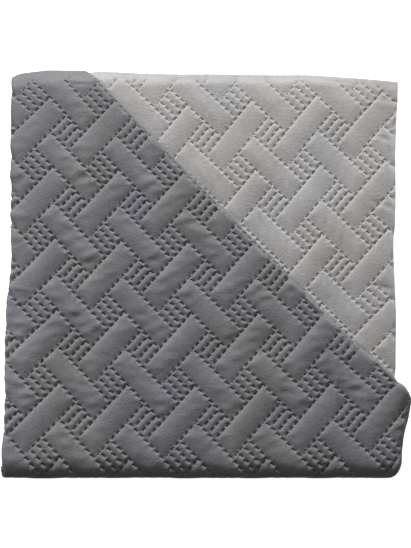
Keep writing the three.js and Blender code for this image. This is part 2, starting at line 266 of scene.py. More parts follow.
TOP_QUILTING = Quilting(
    start=(0.4955, 0.051),
    across=(1.5015, 0.0047),
    back=(0.0843, 1.4068),
    drift=((0.002, 0.028, 0.007), (-0.022, 0.009, 0.016)),
    slants=(-0.08, -0.22),
)
SECOND_QUILTING = Quilting(
    start=(0.4471, 0.086),
    across=(1.5386, -0.1437),
    back=(0.0114, 1.4034),
    drift=((-0.001, -0.005, 0.027), (0.008, 0.019, 0.004)),
    slants=(-0.1, 0.0),
)


@dataclass(frozen=True)
class Puff:
    """How the quilting stands proud of the cloth between its welds, in mm.

    The front and back shares are how fully it stands over most of the pack and at its back.
    """

    bar: float
    square: float
    seam: float = 0.25
    weld: float = 1.2
    dip: float = 0.6
    dip_reach: float = 1.5
    hump: float = 1.0
    falling_dip: float = 0.45
    front_share: float = 1.0
    back_share: float = 1.0
    lip: float = 9.5
    square_edge: float = 6.0

    def rise(self, away: Array, in_square: Array) -> Array:
        """Work out how fully the cloth stands beside a row: steeply in front of it, gently behind.

        Args:
            away: How far places lie in front of the row, in mm.
            in_square: Whether they lie in a small square.

        Returns:
            Shares of the full height.
        """
        steep = 1.0 - (1.0 - np.clip(away / self.lip, 0.0, 1.0)) ** 2.6
        gentle = 1.0 - (1.0 - np.clip(-2.0 * away / BLOCK, 0.0, 1.0)) ** 1.5
        square = 1.0 - (1.0 - np.clip(np.abs(away) / self.square_edge, 0.0, 1.0)) ** 2.3
        return np.where(in_square, square, np.where(away > 0, steep, gentle))

    def height(
        self, u: Array, v: Array, slants: tuple[float, float], wrinkles: Array
    ) -> tuple[Array, Array]:
        """Work out the relief of the quilting.

        Args:
            u: Block widths along the rising direction.
            v: Block widths along the falling direction.
            slants: How steeply rising and falling dashes run to the front of their rows.
            wrinkles: Height of the wrinkles in a bar that falls to the right, in mm.

        Returns:
            Height over the plain cloth, in mm, and how deep in a weld each place lies, from 0 to 1.
        """
        column, row = np.round(u), np.round(v)
        odd_column, odd_row = np.abs(column % 2) == 1, np.abs(row % 2) == 1
        in_square = odd_column & odd_row
        turned = np.abs((column + row) / 2 % 2) == 1
        falling = np.where(odd_row, ~odd_column, ~odd_column & turned)
        full, humps, dips = np.ones(u.shape), np.zeros(u.shape), np.zeros(u.shape)
        weld = np.full(u.shape, 99.0)
        for rows in WELD_FAMILIES:
            away, place, along = rows.measure(u, v)
            beside = np.abs(place) < rows.reach()
            full = np.where(beside, np.minimum(full, self.rise(away * BLOCK, in_square)), full)
            gap = rows.from_dash(away, along, slants)
            weld = np.minimum(weld, gap)
            share = 1.0 if rows.rising else self.falling_dip
            dips = np.maximum(dips, share * np.exp(-((gap / self.dip_reach) ** 2)))
            if not rows.rising:
                between = smooth((np.abs(along) * BLOCK - 2.1) / 1.2) * beside
                humps = humps + between * np.exp(-(((away * BLOCK - 2.4) / 1.6) ** 2))
        own = 1.0 + 0.16 * np.sin(1.7 * column + 2.9 * row)
        swell = np.where(in_square, self.square, self.bar * own)
        crumpled = wrinkles * full * np.where(in_square, 0.2, np.where(falling, 1.0, 0.45))
        sunk = np.clip(1.0 - weld / WELD_HALF_WIDTH, 0.0, 1.0)
        height = self.seam + swell * full + crumpled + self.hump * humps
        height = height - self.weld * sunk - self.dip * dips
        return height, sunk


@dataclass(frozen=True)
class Crease:
    """A soft ridge, or a trough where its height is less than nothing, between two places."""

    start: tuple[float, float]
    end: tuple[float, float]
    width: float
    height: float
    bow: float = 0.0

    def relief(self, x: Array, y: Array) -> Array:
        """Work out the crease's height at places.

        Args:
            x: Places to the right, in mm.
            y: Places to the back, in mm.

        Returns:
            Its height at each place, in mm.
        """
        run = np.subtract(self.end, self.start)
        length = float(np.hypot(*run))
        along = ((x - self.start[0]) * run[0] + (y - self.start[1]) * run[1]) / length
        across = ((y - self.start[1]) * run[0] - (x - self.start[0]) * run[1]) / length
        share = along / length
        across = across - self.bow * 4.0 * share * (1.0 - share)
        past = np.maximum(np.maximum(-along, along - length), 0.0)
        ends = np.exp(-((past / (1.5 * self.width)) ** 2))
        taper = 0.35 + 0.65 * smooth(1.0 - np.abs(2.0 * share - 1.0))
        return self.height * ends * taper * np.exp(-((across / self.width) ** 2))


@dataclass(frozen=True)
class Pull:
    """A tug on the whole pack around a place, in mm."""

    place: tuple[float, float]
    shift: tuple[float, float]
    reach: float


@dataclass(frozen=True)
class PassPlan:
    """One pass of the folded strip, by how far its folds stand from the nominal ones, in mm."""

    left: float
    right: float
    short: float


@dataclass(frozen=True)
class Stretch:
    """A stretch of the strip's path, straight or turning, in mm."""

    start: float
    length: float
    first: PassPlan
    second: PassPlan
    y: float
    z: float
    facing: int
    turn: int = 0
    radius: float = 0.0
    outward: int = 1


@dataclass(frozen=True)
class FoldPlan:
    """Lays the flat cloth as the folded pack: sizes and places in mm, y to the back."""

    cloth: float = 2.0
    layer_gap: float = 0.4
    pass_gap: float = 0.6
    left_fold: float = -192.5
    right_fold: float = 185.5
    hem_y: float = 203.0
    front_y: float = -206.0
    corner_lift: float = 2.9
    peek: float = -0.8
    droop_from: float = 186.0
    droop_width: float = 17.0
    droop: float = 5.0
    thin_sides: float = 0.055
    thin_back: float = 0.045
    thin_width: float = 30.0
    rim_back: tuple[float, float] = (-115.0, 198.5)
    rim_front: tuple[float, float] = (188.0, -112.5)
    rim_sway: tuple[Place, ...] = (
        (340.0, 1.2),
        (380.0, 2.3),
        (410.0, 3.8),
        (424.0, 4.4),
        (434.0, 3.5),
        (440.0, 6.4),
        (447.0, 8.0),
        (453.0, 8.6),
    )
    second_hem: tuple[Place, ...] = (
        (-192.5, 203.0),
        (-110.0, 201.3),
        (-55.0, 198.6),
        (95.0, 197.8),
        (145.0, 194.4),
        (191.0, 190.2),
    )
    overhang_turn: float = 1.7
    overhang_least: float = 1.5
    overhang_flat: float = 22.0
    overhang: tuple[Place, ...] = (
        (-180.0, 11.5),
        (-162.0, 14.1),
        (-147.0, 18.8),
        (-134.0, 21.5),
        (-126.0, 24.6),
        (-118.0, 25.4),
    )
    bends: tuple[float, float, float] = (9.0, 4.0, 4.0)
    passes: tuple[PassPlan, ...] = (
        PassPlan(0.0, 0.0, 0.0),
        PassPlan(1.5, -1.5, 15.0),
        PassPlan(3.0, -1.0, 6.0),
        PassPlan(0.5, -3.0, 17.0),
        PassPlan(2.0, -2.0, 9.0),
    )
    origin: tuple[float, float, float] = (0.0, 1.125, -0.187)
    stretches: tuple[Stretch, ...] = field(init=False, default=())

    def __post_init__(self) -> None:
        """Work out the stretches of the path from the sizes."""
        object.__setattr__(self, "stretches", tuple(self.path()))

    @property
    def half(self) -> float:
        """Half the cloth's thickness."""
        return self.cloth / 2

    @property
    def pitch(self) -> float:
        """Distance between the middles of two layers."""
        return self.cloth + self.layer_gap

    @property
    def strip(self) -> float:
        """Thickness of the four layers."""
        return 4 * self.pitch

    @property
    def flat(self) -> float:
        """Width of one layer between its side folds."""
        return self.right_fold - self.left_fold

    @property
    def wrap_radius(self) -> float:
        """Inner radius of the fold around the front."""
        return (3 * self.strip + 4 * self.pass_gap) / 2

    @property
    def wrap_y(self) -> float:
        """Where the top pass starts to turn down at the front."""
        return self.front_y + self.wrap_radius + self.strip

    @property
    def top_base(self) -> float:
        """Height of the top pass's underside."""
        return 4 * self.strip + 4 * self.pass_gap

    @property
    def levels(self) -> tuple[float, float, float, float]:
        """Heights of the four layers' middles over their pass, from the first to the last."""
        return (3.5 * self.pitch, 2.5 * self.pitch, 1.5 * self.pitch, 0.5 * self.pitch)

    @property
    def top_level(self) -> float:
        """Height of the top layer's middle over its pass."""
        return self.levels[0] + self.corner_lift

    @property
    def rim_radius(self) -> float:
        """Radius of the diagonal fold at the cloth's middle."""
        return (self.top_level - self.levels[1]) / 4

    @property
    def rim_along(self) -> tuple[float, float]:
        """Direction of the diagonal fold, from the back to the front."""
        run = np.subtract(self.rim_front, self.rim_back)
        return tuple(run / np.hypot(*run))

    @property
    def rim_start(self) -> float:
        """Where the diagonal fold starts to turn, as a distance out from its visible rim."""
        return -self.rim_radius - self.half

    @property
    def layer_starts(self) -> tuple[float, ...]:
        """Where each layer and bend starts, counted across the cloth from the top layer's right."""
        starts = [0.0]
        for bend in self.bends:
            starts.extend([starts[-1] + self.flat, starts[-1] + self.flat + bend])
        starts.append(starts[-1] + self.flat)
        return tuple(starts)

    @property
    def width(self) -> float:
        """Place of the last layer's right hem across the cloth."""
        return self.layer_starts[-1] + self.pitch / 2 + self.half + self.peek

    @property
    def length(self) -> float:
        """Place of the inner end along the cloth."""
        last = self.stretches[-1]
        return last.start + last.length

    @property
    def flat_size(self) -> tuple[float, float]:
        """Width and length of the cloth laid flat, with what hangs over the right side."""
        return self.width + self.overhang_flat, self.length

    def path(self) -> Iterable[Stretch]:
        """Lay out the path of the strip, from the top pass's hem to the inner end.

        Returns:
            Its stretches, in order.
        """
        top, bottom, third, fourth, fifth = self.passes
        gap = self.pass_gap
        strip = self.strip
        back = [self.hem_y - plan.short - strip for plan in (bottom, fourth)]
        front = self.front_y + strip + third.short + self.wrap_radius / 2
        end = self.front_y + strip + self.wrap_radius + fifth.short
        tight = gap / 2
        wide = strip + gap / 2
        wrap = math.pi * (self.wrap_radius + strip + self.corner_lift / 2)
        turn = math.pi * (strip + gap) / 2
        rows = [
            (self.hem_y - self.wrap_y, top, top, self.hem_y, self.top_base, 1, 0, 0.0, 1),
            (wrap, top, bottom, self.wrap_y, strip + self.wrap_radius, 1, -1, self.wrap_radius, 1),
            (back[0] - self.wrap_y, bottom, bottom, self.wrap_y, strip, -1, 0, 0.0, 1),
            (turn, bottom, third, back[0], strip + tight, -1, 1, tight, 1),
            (back[0] - front, third, third, back[0], strip + gap, 1, 0, 0.0, 1),
            (turn, third, fourth, front, 2 * strip + 1.5 * gap, 1, -1, wide, -1),
            (back[1] - front, fourth, fourth, front, 3 * strip + 2 * gap, -1, 0, 0.0, 1),
            (turn, fourth, fifth, back[1], 3 * strip + 2.5 * gap, -1, 1, tight, 1),
            (back[1] - end, fifth, fifth, back[1], 3 * strip + 3 * gap, 1, 0, 0.0, 1),
        ]
        start = 0.0
        for length, first, second, y, z, facing, side, radius, outward in rows:
            yield Stretch(start, length, first, second, y, z, facing, side, radius, outward)
            start += length

    def left_lean(self, y: Array) -> Array:
        """Return how far the left edge stands from its nominal place."""
        return 0.7 + 0.0262 * y - 0.00005 * y * y

    def right_lean(self, y: Array) -> Array:
        """Return how far the right edge stands from its nominal place."""
        return 0.013 * y + 0.00005 * y * y

    def leant(self, x: Array, y: Array) -> Array:
        """Return nominal places across the pack moved to where its leaning edges put them."""
        share = (x - self.left_fold) / self.flat
        return x + blend(self.left_lean(y), self.right_lean(y), share)

    def upright(self, x: Array, y: Array) -> Array:
        """Return leant places across the pack moved back to their nominal ones."""
        left, right = self.left_lean(y), self.right_lean(y)
        slope = (right - left) / self.flat
        return (x - left + slope * self.left_fold) / (1.0 + slope)

    def settled(self, x: Array, y: Array, z: Array) -> Array:
        """Return heights thinned towards the pack's sides and back."""
        width = self.thin_width
        sides = np.clip((self.left_fold + width - x) / width, 0, 1)
        sides = sides + np.clip((x - self.right_fold + width) / width, 0, 1)
        back = np.clip((y - self.hem_y + width) / width, 0, 1)
        return z * (1.0 - self.thin_sides * sides - self.thin_back * back)

    def drooped(self, y: Array) -> Array:
        """Return how far the top pass falls at the back, where nothing lies under it."""
        return self.droop * np.clip((y - self.droop_from) / self.droop_width, 0, 1) ** 2

    def reach(self, y: Array) -> Array:
        """Return how far the top layer stands over the right side before it turns down."""
        return look_up(self.overhang, y)

    def wrapped_reach(self, share: Array) -> Array:
        """Return how far the top layer stands over the right side on its way around the front."""
        return blend(self.overhang[0][1], self.overhang_least, smooth((share - 0.2) / 0.65))

    def overhang_length(self, reach: Array) -> Array:
        """Return the length of cloth past the right side for a reach."""
        turned = np.clip((reach - self.overhang_least) / 8.0, 0, 1)
        return reach * self.overhang_turn * turned + self.overhang_least * (1.0 - turned)

    def first_across(self, along: Array) -> Array:
        """Work out where the cloth's first side hem lies.

        Args:
            along: Places along the cloth.

        Returns:
            The hem's place across the cloth, less than nothing where it hangs over.
        """
        wrap = self.stretches[1]
        wrapped = self.wrapped_reach((along - wrap.start) / wrap.length)
        reach = np.where(along <= wrap.start, self.reach(self.hem_y - along), wrapped)
        return -self.overhang_length(reach)

    def first_along(self, across: Array) -> Array:
        """Return where the slanting back hem lies along the cloth."""
        starts = self.layer_starts
        x = np.interp(
            across,
            (starts[1], starts[2], starts[3], starts[4], starts[5], starts[6], starts[7]),
            (self.left_fold, self.left_fold, self.right_fold, self.right_fold)
            + (self.left_fold, self.left_fold, self.right_fold),
        )
        hem = look_up(self.second_hem, x)
        return np.where(across <= starts[1], 0.0, np.maximum(self.hem_y - hem, 0.0))

    def rim_distance(self, across: Array, along: Array) -> Array:
        """Measure how far flat places of the top layer lie beyond the diagonal fold's rim.

        Args:
            across: Places across the cloth.
            along: Places along the cloth.

        Returns:
            The distance out from the rim, in mm.
        """
        y = self.hem_y - along
        x = self.leant(self.right_fold - across, y)
        along_x, along_y = self.rim_along
        from_x, from_y = x - self.rim_back[0], y - self.rim_back[1]
        sway = look_up(self.rim_sway, from_x * along_x + from_y * along_y)
        return from_y * along_x - from_x * along_y - sway

    def place(self, across: Array, along: Array, offset: Array) -> Array:
        """Lay flat places of the cloth in the pack.

        Args:
            across: Places across the cloth, in mm.
            along: Places along the cloth, in mm.
            offset: Distances from the cloth's middle, the dark face's side being more than nothing.

        Returns:
            Points of the pack, one row each, in mm.
        """
        y, z, normal_y, normal_z, left, right, lift, reach = self.follow(along)
        x, height = self.cross(across, left, right, lift, offset)
        points = np.empty((len(across), 3))
        lean_y = y + height * normal_y
        points[:, 0] = self.leant(x, lean_y)
        points[:, 1] = lean_y
        points[:, 2] = self.settled(x, lean_y, z + height * normal_z)
        flat_x = self.right_fold + right - across
        top = across < self.layer_starts[1]
        on_top = top & (along <= self.stretches[0].length)
        beyond = self.rim_distance(across, along) - self.rim_start
        turned = on_top & ((beyond > 0) | (across < 0))
        if turned.any():
            points[turned] = self.turn_corner(
                flat_x[turned], y[turned], offset[turned], np.maximum(beyond[turned], 0.0)
            )
        wrapped = top & ~on_top & (across < 0)
        if wrapped.any():
            level = self.levels[0] + lift[wrapped]
            arc = -across[wrapped]
            x, height = self.drape(arc, reach[wrapped], level, offset[wrapped])
            over_y = y[wrapped] + height * normal_y[wrapped]
            over_x = self.right_fold + right[wrapped] + x
            points[wrapped, 0] = self.leant(over_x, over_y)
            points[wrapped, 1] = over_y
            points[wrapped, 2] = self.settled(over_x, over_y, z[wrapped] + height * normal_z[wrapped])
        return points + np.array(self.origin)

    def drape(self, arc: Array, reach: Array, level: Array | float, offset: Array) -> tuple[Array, Array]:
        """Hang cloth over the right side.

        Args:
            arc: Length of cloth past the side.
            reach: How far it stands over the side.
            level: Height of the cloth's middle on the pack.
            offset: Distance from the cloth's middle.

        Returns:
            Distances past the side, and heights.
        """
        turned = np.clip((reach - self.overhang_least) / 8.0, 0, 1)
        share = arc / self.overhang_length(reach)
        angle = share * self.overhang_turn * turned
        stretch = share * self.overhang_least * (1.0 - turned)
        x = (reach + offset) * np.sin(angle) + stretch
        return x, level - reach * (1.0 - np.cos(angle)) + offset * np.cos(angle)

    def turn_corner(self, flat_x: Array, flat_y: Array, offset: Array, beyond: Array) -> Array:
        """Turn the top layer under on the diagonal, and hang it over the right side.

        Args:
            flat_x: Nominal places to the right, as if the layer lay flat.
            flat_y: Places to the back, as if the layer lay flat.
            offset: Distances from the cloth's middle.
            beyond: Distances past where the diagonal fold starts to turn.

        Returns:
            Points of the pack, without its origin.
        """
        radius = self.rim_radius
        along_x, along_y = self.rim_along
        angle = np.clip(beyond / radius, 0.0, math.pi)
        rolled = math.pi * radius
        inward = np.sin(angle) * (radius + offset) - np.maximum(beyond - rolled, 0.0)
        shift = inward - beyond
        x = self.leant(flat_x, flat_y) - shift * along_y
        y = flat_y + shift * along_x
        flap = self.top_level - 2 * radius
        curled = flap + radius + (radius + offset) * np.cos(angle)
        level = np.where(beyond > 0, curled, self.top_level + offset)
        side = self.right_fold + self.right_lean(y)
        arc = x - side
        above = level - self.top_level
        over, fallen = self.drape(np.maximum(arc, 0.0), self.reach(y), self.top_level, above)
        hangs = arc > 0
        x = np.where(hangs, side + over, x)
        level = np.where(hangs, fallen, level)
        z = self.top_base - self.drooped(y) + level
        return np.column_stack((x, y, self.settled(x, y, z)))

    def follow(self, along: Array) -> tuple[Array, ...]:
        """Follow the strip's path.

        Args:
            along: Places along the cloth.

        Returns:
            The path's y and z, its normal's y and z, the side folds' distances from the nominal
            ones, the top layer's lift and its reach over the side.
        """
        values = np.zeros((8, len(along)))
        starts = np.array([stretch.start for stretch in self.stretches])
        which = np.clip(np.searchsorted(starts, along, side="right") - 1, 0, len(starts) - 1)
        for number, stretch in enumerate(self.stretches):
            chosen = which == number
            run = along[chosen] - stretch.start
            share = run / stretch.length
            if stretch.turn == 0:
                y = stretch.y - stretch.facing * run
                z = np.full(run.shape, stretch.z)
                normal_y, normal_z = np.zeros(run.shape), np.full(run.shape, float(stretch.facing))
            else:
                angle = math.pi * share
                downward = -1 if number == 1 else 1
                y = stretch.y + stretch.turn * stretch.radius * np.sin(angle)
                z = stretch.z - downward * stretch.radius * np.cos(angle)
                normal_y = stretch.outward * stretch.turn * np.sin(angle)
                normal_z = -stretch.outward * downward * np.cos(angle)
            left = blend(stretch.first.left, stretch.second.left, share)
            right = blend(stretch.first.right, stretch.second.right, share)
            lift = np.zeros(run.shape)
            if number == 0:
                lift += self.corner_lift
                z = z - self.drooped(y)
            if number == 1:
                lift += self.corner_lift * (1.0 - share)
            reach = np.full(run.shape, self.overhang_least)
            if number == 0:
                reach = self.reach(y)
            if number == 1:
                reach = self.wrapped_reach(share)
            values[:, chosen] = (y, z, normal_y, normal_z, left, right, lift, reach)
        return tuple(values)

    def cross(
        self, across: Array, left: Array, right: Array, lift: Array, offset: Array
    ) -> tuple[Array, Array]:
        """Cross the four layers.

        Args:
            across: Places across the cloth.
            left: The left folds' distance from the nominal one.
            right: The right folds' distance from the nominal one.
            lift: Extra height of the top layer.
            offset: Distance from the cloth's middle.

        Returns:
            Nominal places to the right, and heights over the path.
        """
        starts = self.layer_starts
        levels = [np.full(across.shape, level) for level in self.levels]
        levels[0] = levels[0] + lift
        sides = (self.right_fold + right, self.left_fold + left)
        x, height, angle = (np.zeros(across.shape) for _ in range(3))
        for layer in range(4):
            begin = starts[2 * layer]
            end = starts[2 * layer + 1]
            chosen = (across >= begin) & (across <= end) if layer else across <= end
            if layer == 3:
                chosen = across >= begin
            share = (across[chosen] - begin) / (end - begin)
            near, far = sides[layer % 2][chosen], sides[1 - layer % 2][chosen]
            x[chosen] = blend(near, far, share)
            height[chosen] = levels[layer][chosen]
            angle[chosen] = math.pi * (layer % 2)
            if layer == 3:
                continue
            bend = (across > end) & (across < starts[2 * layer + 2])
            turned = math.pi * (across[bend] - end) / self.bends[layer]
            upper, lower = levels[layer][bend], levels[layer + 1][bend]
            radius = (upper - lower) / 2
            side = -1 if layer % 2 == 0 else 1
            x[bend] = sides[1 - layer % 2][bend] + side * radius * np.sin(turned)
            height[bend] = (upper + lower) / 2 + radius * np.cos(turned)
            angle[bend] = side * turned + (0.0 if layer % 2 == 0 else math.pi)
        return x + offset * np.sin(angle), height + offset * np.cos(angle)


@dataclass
class FlatDrawing:
    """Points and lines drawn on the flat cloth, then filled with triangles."""

    points: list[Place] = field(default_factory=list)
    lines: list[tuple[int, int]] = field(default_factory=list)
    numbers: dict[Place, int] = field(default_factory=dict)

    def point(self, across: float, along: float) -> int:
        """Add a point, once.

        Args:
            across: Its place across the cloth.
            along: Its place along the cloth.

        Returns:
            Its number.
        """
        key = (round(float(across), 3), round(float(along), 3))
        if key not in self.numbers:
            self.numbers[key] = len(self.points)
            self.points.append(key)
        return self.numbers[key]

    def scatter(self, across: Array, along: Array) -> None:
        """Add loose points."""
        for place in zip(across, along):
            self.point(*place)

    def line(self, places: Sequence[Place], closed: bool = False) -> list[int]:
        """Add a line through places.

        Args:
            places: Its places, in order.
            closed: Whether it runs back to its first place.

        Returns:
            The numbers of its points.
        """
        numbers = [self.point(*place) for place in places]
        pairs = list(zip(numbers, numbers[1:]))
        if closed:
            pairs.append((numbers[-1], numbers[0]))
        self.lines.extend(pair for pair in pairs if pair[0] != pair[1])
        return numbers

    def fill(self) -> tuple[Array, Array, dict[int, int]]:
        """Fill the drawing with triangles.

        Returns:
            The points, the triangles turned anticlockwise, and the new number of each point drawn.
        """
        flat = [Vector(place) for place in self.points]
        places, _, triangles, origins, _, _ = delaunay_2d_cdt(flat, self.lines, [], 1, 1e-4)
        renumbered = {old: new for new, olds in enumerate(origins) for old in olds}
        points = np.array([tuple(place) for place in places])
        corners = np.array(triangles)
        first, second, third = (points[corners[:, k]] for k in range(3))
        doubled = np.cross(second - first, third - first)
        corners[doubled < 0] = corners[doubled < 0][:, ::-1]
        return points, corners[np.abs(doubled) > 1e-7], renumbered


@dataclass
class Coverlet:
    """The folded cloth: one closed sheet with a quilted dark face and a quilted light one."""

    plan: FoldPlan = field(default_factory=FoldPlan)
    top_puff: Puff = field(
        default_factory=lambda: Puff(bar=2.0, square=1.0, front_share=1.15, back_share=0.78)
    )
    second_puff: Puff = field(
        default_factory=lambda: Puff(bar=1.3, square=0.8, weld=0.9, dip=0.35, hump=0.8, back_share=0.85)
    )
    dark_band: float = 4.0
    light_band: tuple[Place, ...] = ((130.0, 6.0), (165.0, 2.5))
    # How far inside a hem the quilting starts to rise, and over how far it rises
    dark_hem: Span = (5.0, 9.0)
    light_hem: Span = (2.0, 7.0)
    # What stays of the quilting and of the creases around the front
    wrapped_share: float = 0.25
    wrapped_creases: float = 0.15
    # How far from the middle the sides start to sway, and over how far the sway grows
    left_side: Span = (145.0, 45.0)
    right_side: Span = (150.0, 40.0)
    hem_bulge: float = 0.8
    lattice_share: float = 0.419
    slack: Span = (80.0, 110.0)
    wrinkle: float = 0.5
    unevenness: float = 0.4
    squareness: float = 2.7
    left_sway: tuple[Place, ...] = (
        (-206.0, -4.6),
        (-196.0, -3.5),
        (-188.0, -2.2),
        (-165.0, -0.2),
        (-108.0, -1.6),
        (-88.0, -3.1),
        (-65.0, -3.5),
        (-45.0, -2.1),
        (-15.0, -1.8),
        (10.0, 0.0),
        (35.0, 1.2),
        (60.0, -0.3),
        (110.0, -1.5),
        (150.0, -1.6),
        (172.0, -1.9),
        (183.0, -2.6),
        (188.0, -2.7),
        (194.0, -3.7),
        (200.0, -3.9),
    )
    right_sway: tuple[Place, ...] = (
        (-118.0, 0.0),
        (-110.0, 1.9),
        (-96.0, 3.5),
        (-76.0, 3.6),
        (-56.0, 4.1),
        (-36.0, 4.0),
        (-20.0, 2.7),
        (4.0, 1.0),
        (24.0, 0.1),
        (36.0, 0.5),
        (48.0, 2.1),
        (74.0, 2.1),
        (94.0, 1.1),
        (124.0, 0.0),
        (154.0, 1.0),
        (172.0, 1.8),
        (190.0, 1.0),
    )
    pulls: tuple[Pull, ...] = (
        Pull((-196.0, 204.0), (0.0, -4.6), 28.0),
        Pull((-119.0, 202.0), (-1.5, -1.8), 7.0),
    )
    worn_corner: tuple[float, float] = (-187.0, 193.0)
    top_creases: tuple[Crease, ...] = (
        Crease((133.5, -87.5), (154.5, -75.0), 3.2, 1.2),
        Crease((131.5, -86.0), (131.0, -143.0), 3.0, 1.5, bow=-1.5),
        Crease((124.5, -90.0), (125.0, -138.0), 4.0, -0.6),
        Crease((134.0, -103.0), (144.0, -103.0), 2.0, -0.7),
        Crease((134.0, -107.0), (146.0, -107.0), 2.0, 0.7),
        Crease((191.0, -176.0), (190.5, -190.0), 1.5, -1.2),
        Crease((195.0, -172.0), (195.0, -194.0), 2.0, 0.8),
        Crease((-198.0, -14.0), (-172.0, -18.0), 2.4, 0.9),
        Crease((-198.0, -30.0), (-170.0, -29.0), 2.4, 0.8),
        Crease((-199.0, -46.0), (-175.0, -52.0), 2.4, 0.9),
        Crease((-199.0, -61.0), (-178.0, -64.0), 2.4, 0.8),
        Crease((-150.0, 188.5), (-107.0, 188.5), 1.6, -0.9),
    )
    second_creases: tuple[Crease, ...] = (
        Crease((133.0, 46.0), (134.0, 24.0), 1.6, 0.5),
        Crease((165.0, 176.0), (192.0, 170.0), 2.2, -0.8),
        Crease((168.0, 138.0), (193.0, 130.0), 2.2, -0.8),
        Crease((166.0, 72.0), (190.0, 62.0), 2.4, -0.9),
        Crease((165.0, -12.0), (190.0, -18.0), 2.4, -0.9),
    )

    def across_lines(self) -> list[float]:
        """Return places across the cloth where columns of points stand."""
        starts = self.plan.layer_starts
        flat = self.plan.flat
        inner = (0.0, 6.0, 14.0, 30.0, 60.0, 110.0, 160.0, 210.0, 260.0, 310.0)
        inner = (*inner, flat - 30.0, flat - 14.0, flat - 6.0, flat)
        lines = [starts[2 * layer] + place for layer in range(4) for place in inner]
        for bend, length in enumerate(self.plan.bends):
            lines.extend(starts[2 * bend + 1] + length * k / 8 for k in range(1, 8))
        lines.append(self.plan.width)
        return sorted(lines)

    def along_lines(self) -> list[float]:
        """Return places along the cloth where rows of points stand."""
        lines = [3.0, 7.0, 12.0, 17.0, 23.0, 30.0]
        for number, stretch in enumerate(self.plan.stretches):
            count = 8 if stretch.turn else 20
            if number == 0:
                count = 36
            if number == 1:
                count = 22
            lines.extend(stretch.start + stretch.length * k / count for k in range(count + 1))
        return sorted(set(round(line, 3) for line in lines if line > 0.5))

    def is_bend(self, across: float) -> bool:
        """Return whether a column lies on a side bend."""
        starts = self.plan.layer_starts
        return any(starts[2 * k + 1] <= across <= starts[2 * k + 2] for k in range(3))

    def rim_places(self) -> list[list[Place]]:
        """Draw lines beside and on the diagonal fold, from the back hem to the side hem.

        Returns:
            The flat places of each line.
        """
        plan = self.plan
        rolled = math.pi * plan.rim_radius
        distances = [-1.3, *(rolled * k / 8 for k in range(9)), rolled + 2.5]
        along_x, along_y = plan.rim_along
        drawn = []
        for distance in distances:
            run = np.arange(-40.0, 520.0, 0.5)
            out = plan.rim_start + distance + look_up(plan.rim_sway, run)
            x = plan.rim_back[0] + run * along_x - out * along_y
            y = plan.rim_back[1] + run * along_y + out * along_x
            across = plan.right_fold - plan.upright(x, y)
            along = plan.hem_y - y
            back = np.interp(0.0, along, run)
            side = np.interp(0.0, plan.first_across(along) - across, run)
            stops = np.linspace(back, side, 110)
            line = np.column_stack((np.interp(stops, run, across), np.interp(stops, run, along)))
            line = np.round(line, 3)
            line[0, 1] = 0.0
            line[-1, 0] = plan.first_across(line[-1:, 1])[0]
            drawn.append([tuple(place) for place in line])
        return drawn

    def outline(self, rim: list[list[Place]]) -> list[Place]:
        """Draw the cloth's outline.

        Args:
            rim: The lines of the diagonal fold, which end on it.

        Returns:
            Its flat places, from the first corner along the back hem.
        """
        plan = self.plan
        stops = {round(line[0][0], 3) for line in rim}
        crossed = [line[0][0] for line in rim]
        regular = [a for a in self.across_lines() if a >= 0]
        regular += list(np.arange(plan.layer_starts[2] + 4, plan.layer_starts[3] - 3, 5.0))
        corner = float(plan.first_across(np.array([0.0]))[0])
        regular = [a for a in regular if min(abs(a - c) for c in crossed) > 1.2]
        back = sorted({corner, *stops, *(round(a, 3) for a in regular)})
        hem = plan.first_along(np.array(back))
        places = list(zip(back, (float(s) for s in hem)))
        rows = self.along_lines()
        places += [(plan.width, s) for s in rows if s > hem[-1] + 1]
        across = [a for a in self.across_lines() if a > 0]
        places += [(a, plan.length) for a in reversed(across[:-1])]
        ends = [line[-1][1] for line in rim]
        wrap = plan.stretches[2].start
        side = [s for s in (*rows, *np.arange(4.0, wrap, 4.0)) if min(abs(s - e) for e in ends) > 1.2]
        side = sorted({*(round(float(s), 3) for s in side), *(round(e, 3) for e in ends)}, reverse=True)
        left = plan.first_across(np.array(side))
        places += list(zip((float(a) for a in left), side))
        return places

    def lattice(self, quilting: Quilting) -> tuple[Array, Array]:
        """Spread points over the quilting: a lattice in each block, and each weld's own points.

        Args:
            quilting: Where the quilting lies.

        Returns:
            Their places to the right and to the back, in mm.
        """
        steps = np.linspace(-self.lattice_share, self.lattice_share, 11)
        blocks = np.arange(-22, 24)
        line = (blocks[:, None] + steps[None, :]).ravel()
        u, v = (grid.ravel() for grid in np.meshgrid(line, line))
        near = np.full(u.shape, 99.0)
        for rows in WELD_FAMILIES:
            away, _, along = rows.measure(u, v)
            near = np.minimum(near, rows.from_dash(away, along, quilting.slants))
        keep = near > WELD_HALF_WIDTH + 0.5
        places_u, places_v = [u[keep]], [v[keep]]
        length, width = WELD_HALF_LENGTH / BLOCK, WELD_HALF_WIDTH / BLOCK
        lips = [(-1.0, 0), (1.0, 0), (-0.55, 1), (-0.55, -1), (0.55, 1), (0.55, -1), (0, 1), (0, -1)]
        shape = np.array([*lips, (-0.6, 0), (0, 0), (0.6, 0)]) * (length, width)
        for rows in WELD_FAMILIES:
            middles = np.array([m for m in blocks if (m - rows.odd) % 2 == 0])
            count = rows.dashes
            dashes = (np.arange(count) - count // 2 + rows.half) * WELD_PITCH
            groups = 4.0 * np.arange(-6, 7)
            m, side, group, dash = np.meshgrid(middles, (-1, 1), groups, dashes, indexing="ij")
            across = (m + side * rows.beside).ravel()
            run = (group + dash + rows.shift - rows.sense * m).ravel()
            forward = shape[:, 1] + rows.slant(quilting.slants) * shape[:, 0] + WELD_FRONT / BLOCK
            between = [(WELD_PITCH / 2, 0.0), (WELD_PITCH / 2, rows.front * 1.9 / BLOCK)]
            drawn = np.vstack((np.column_stack((shape[:, 0], rows.front * forward)), between))
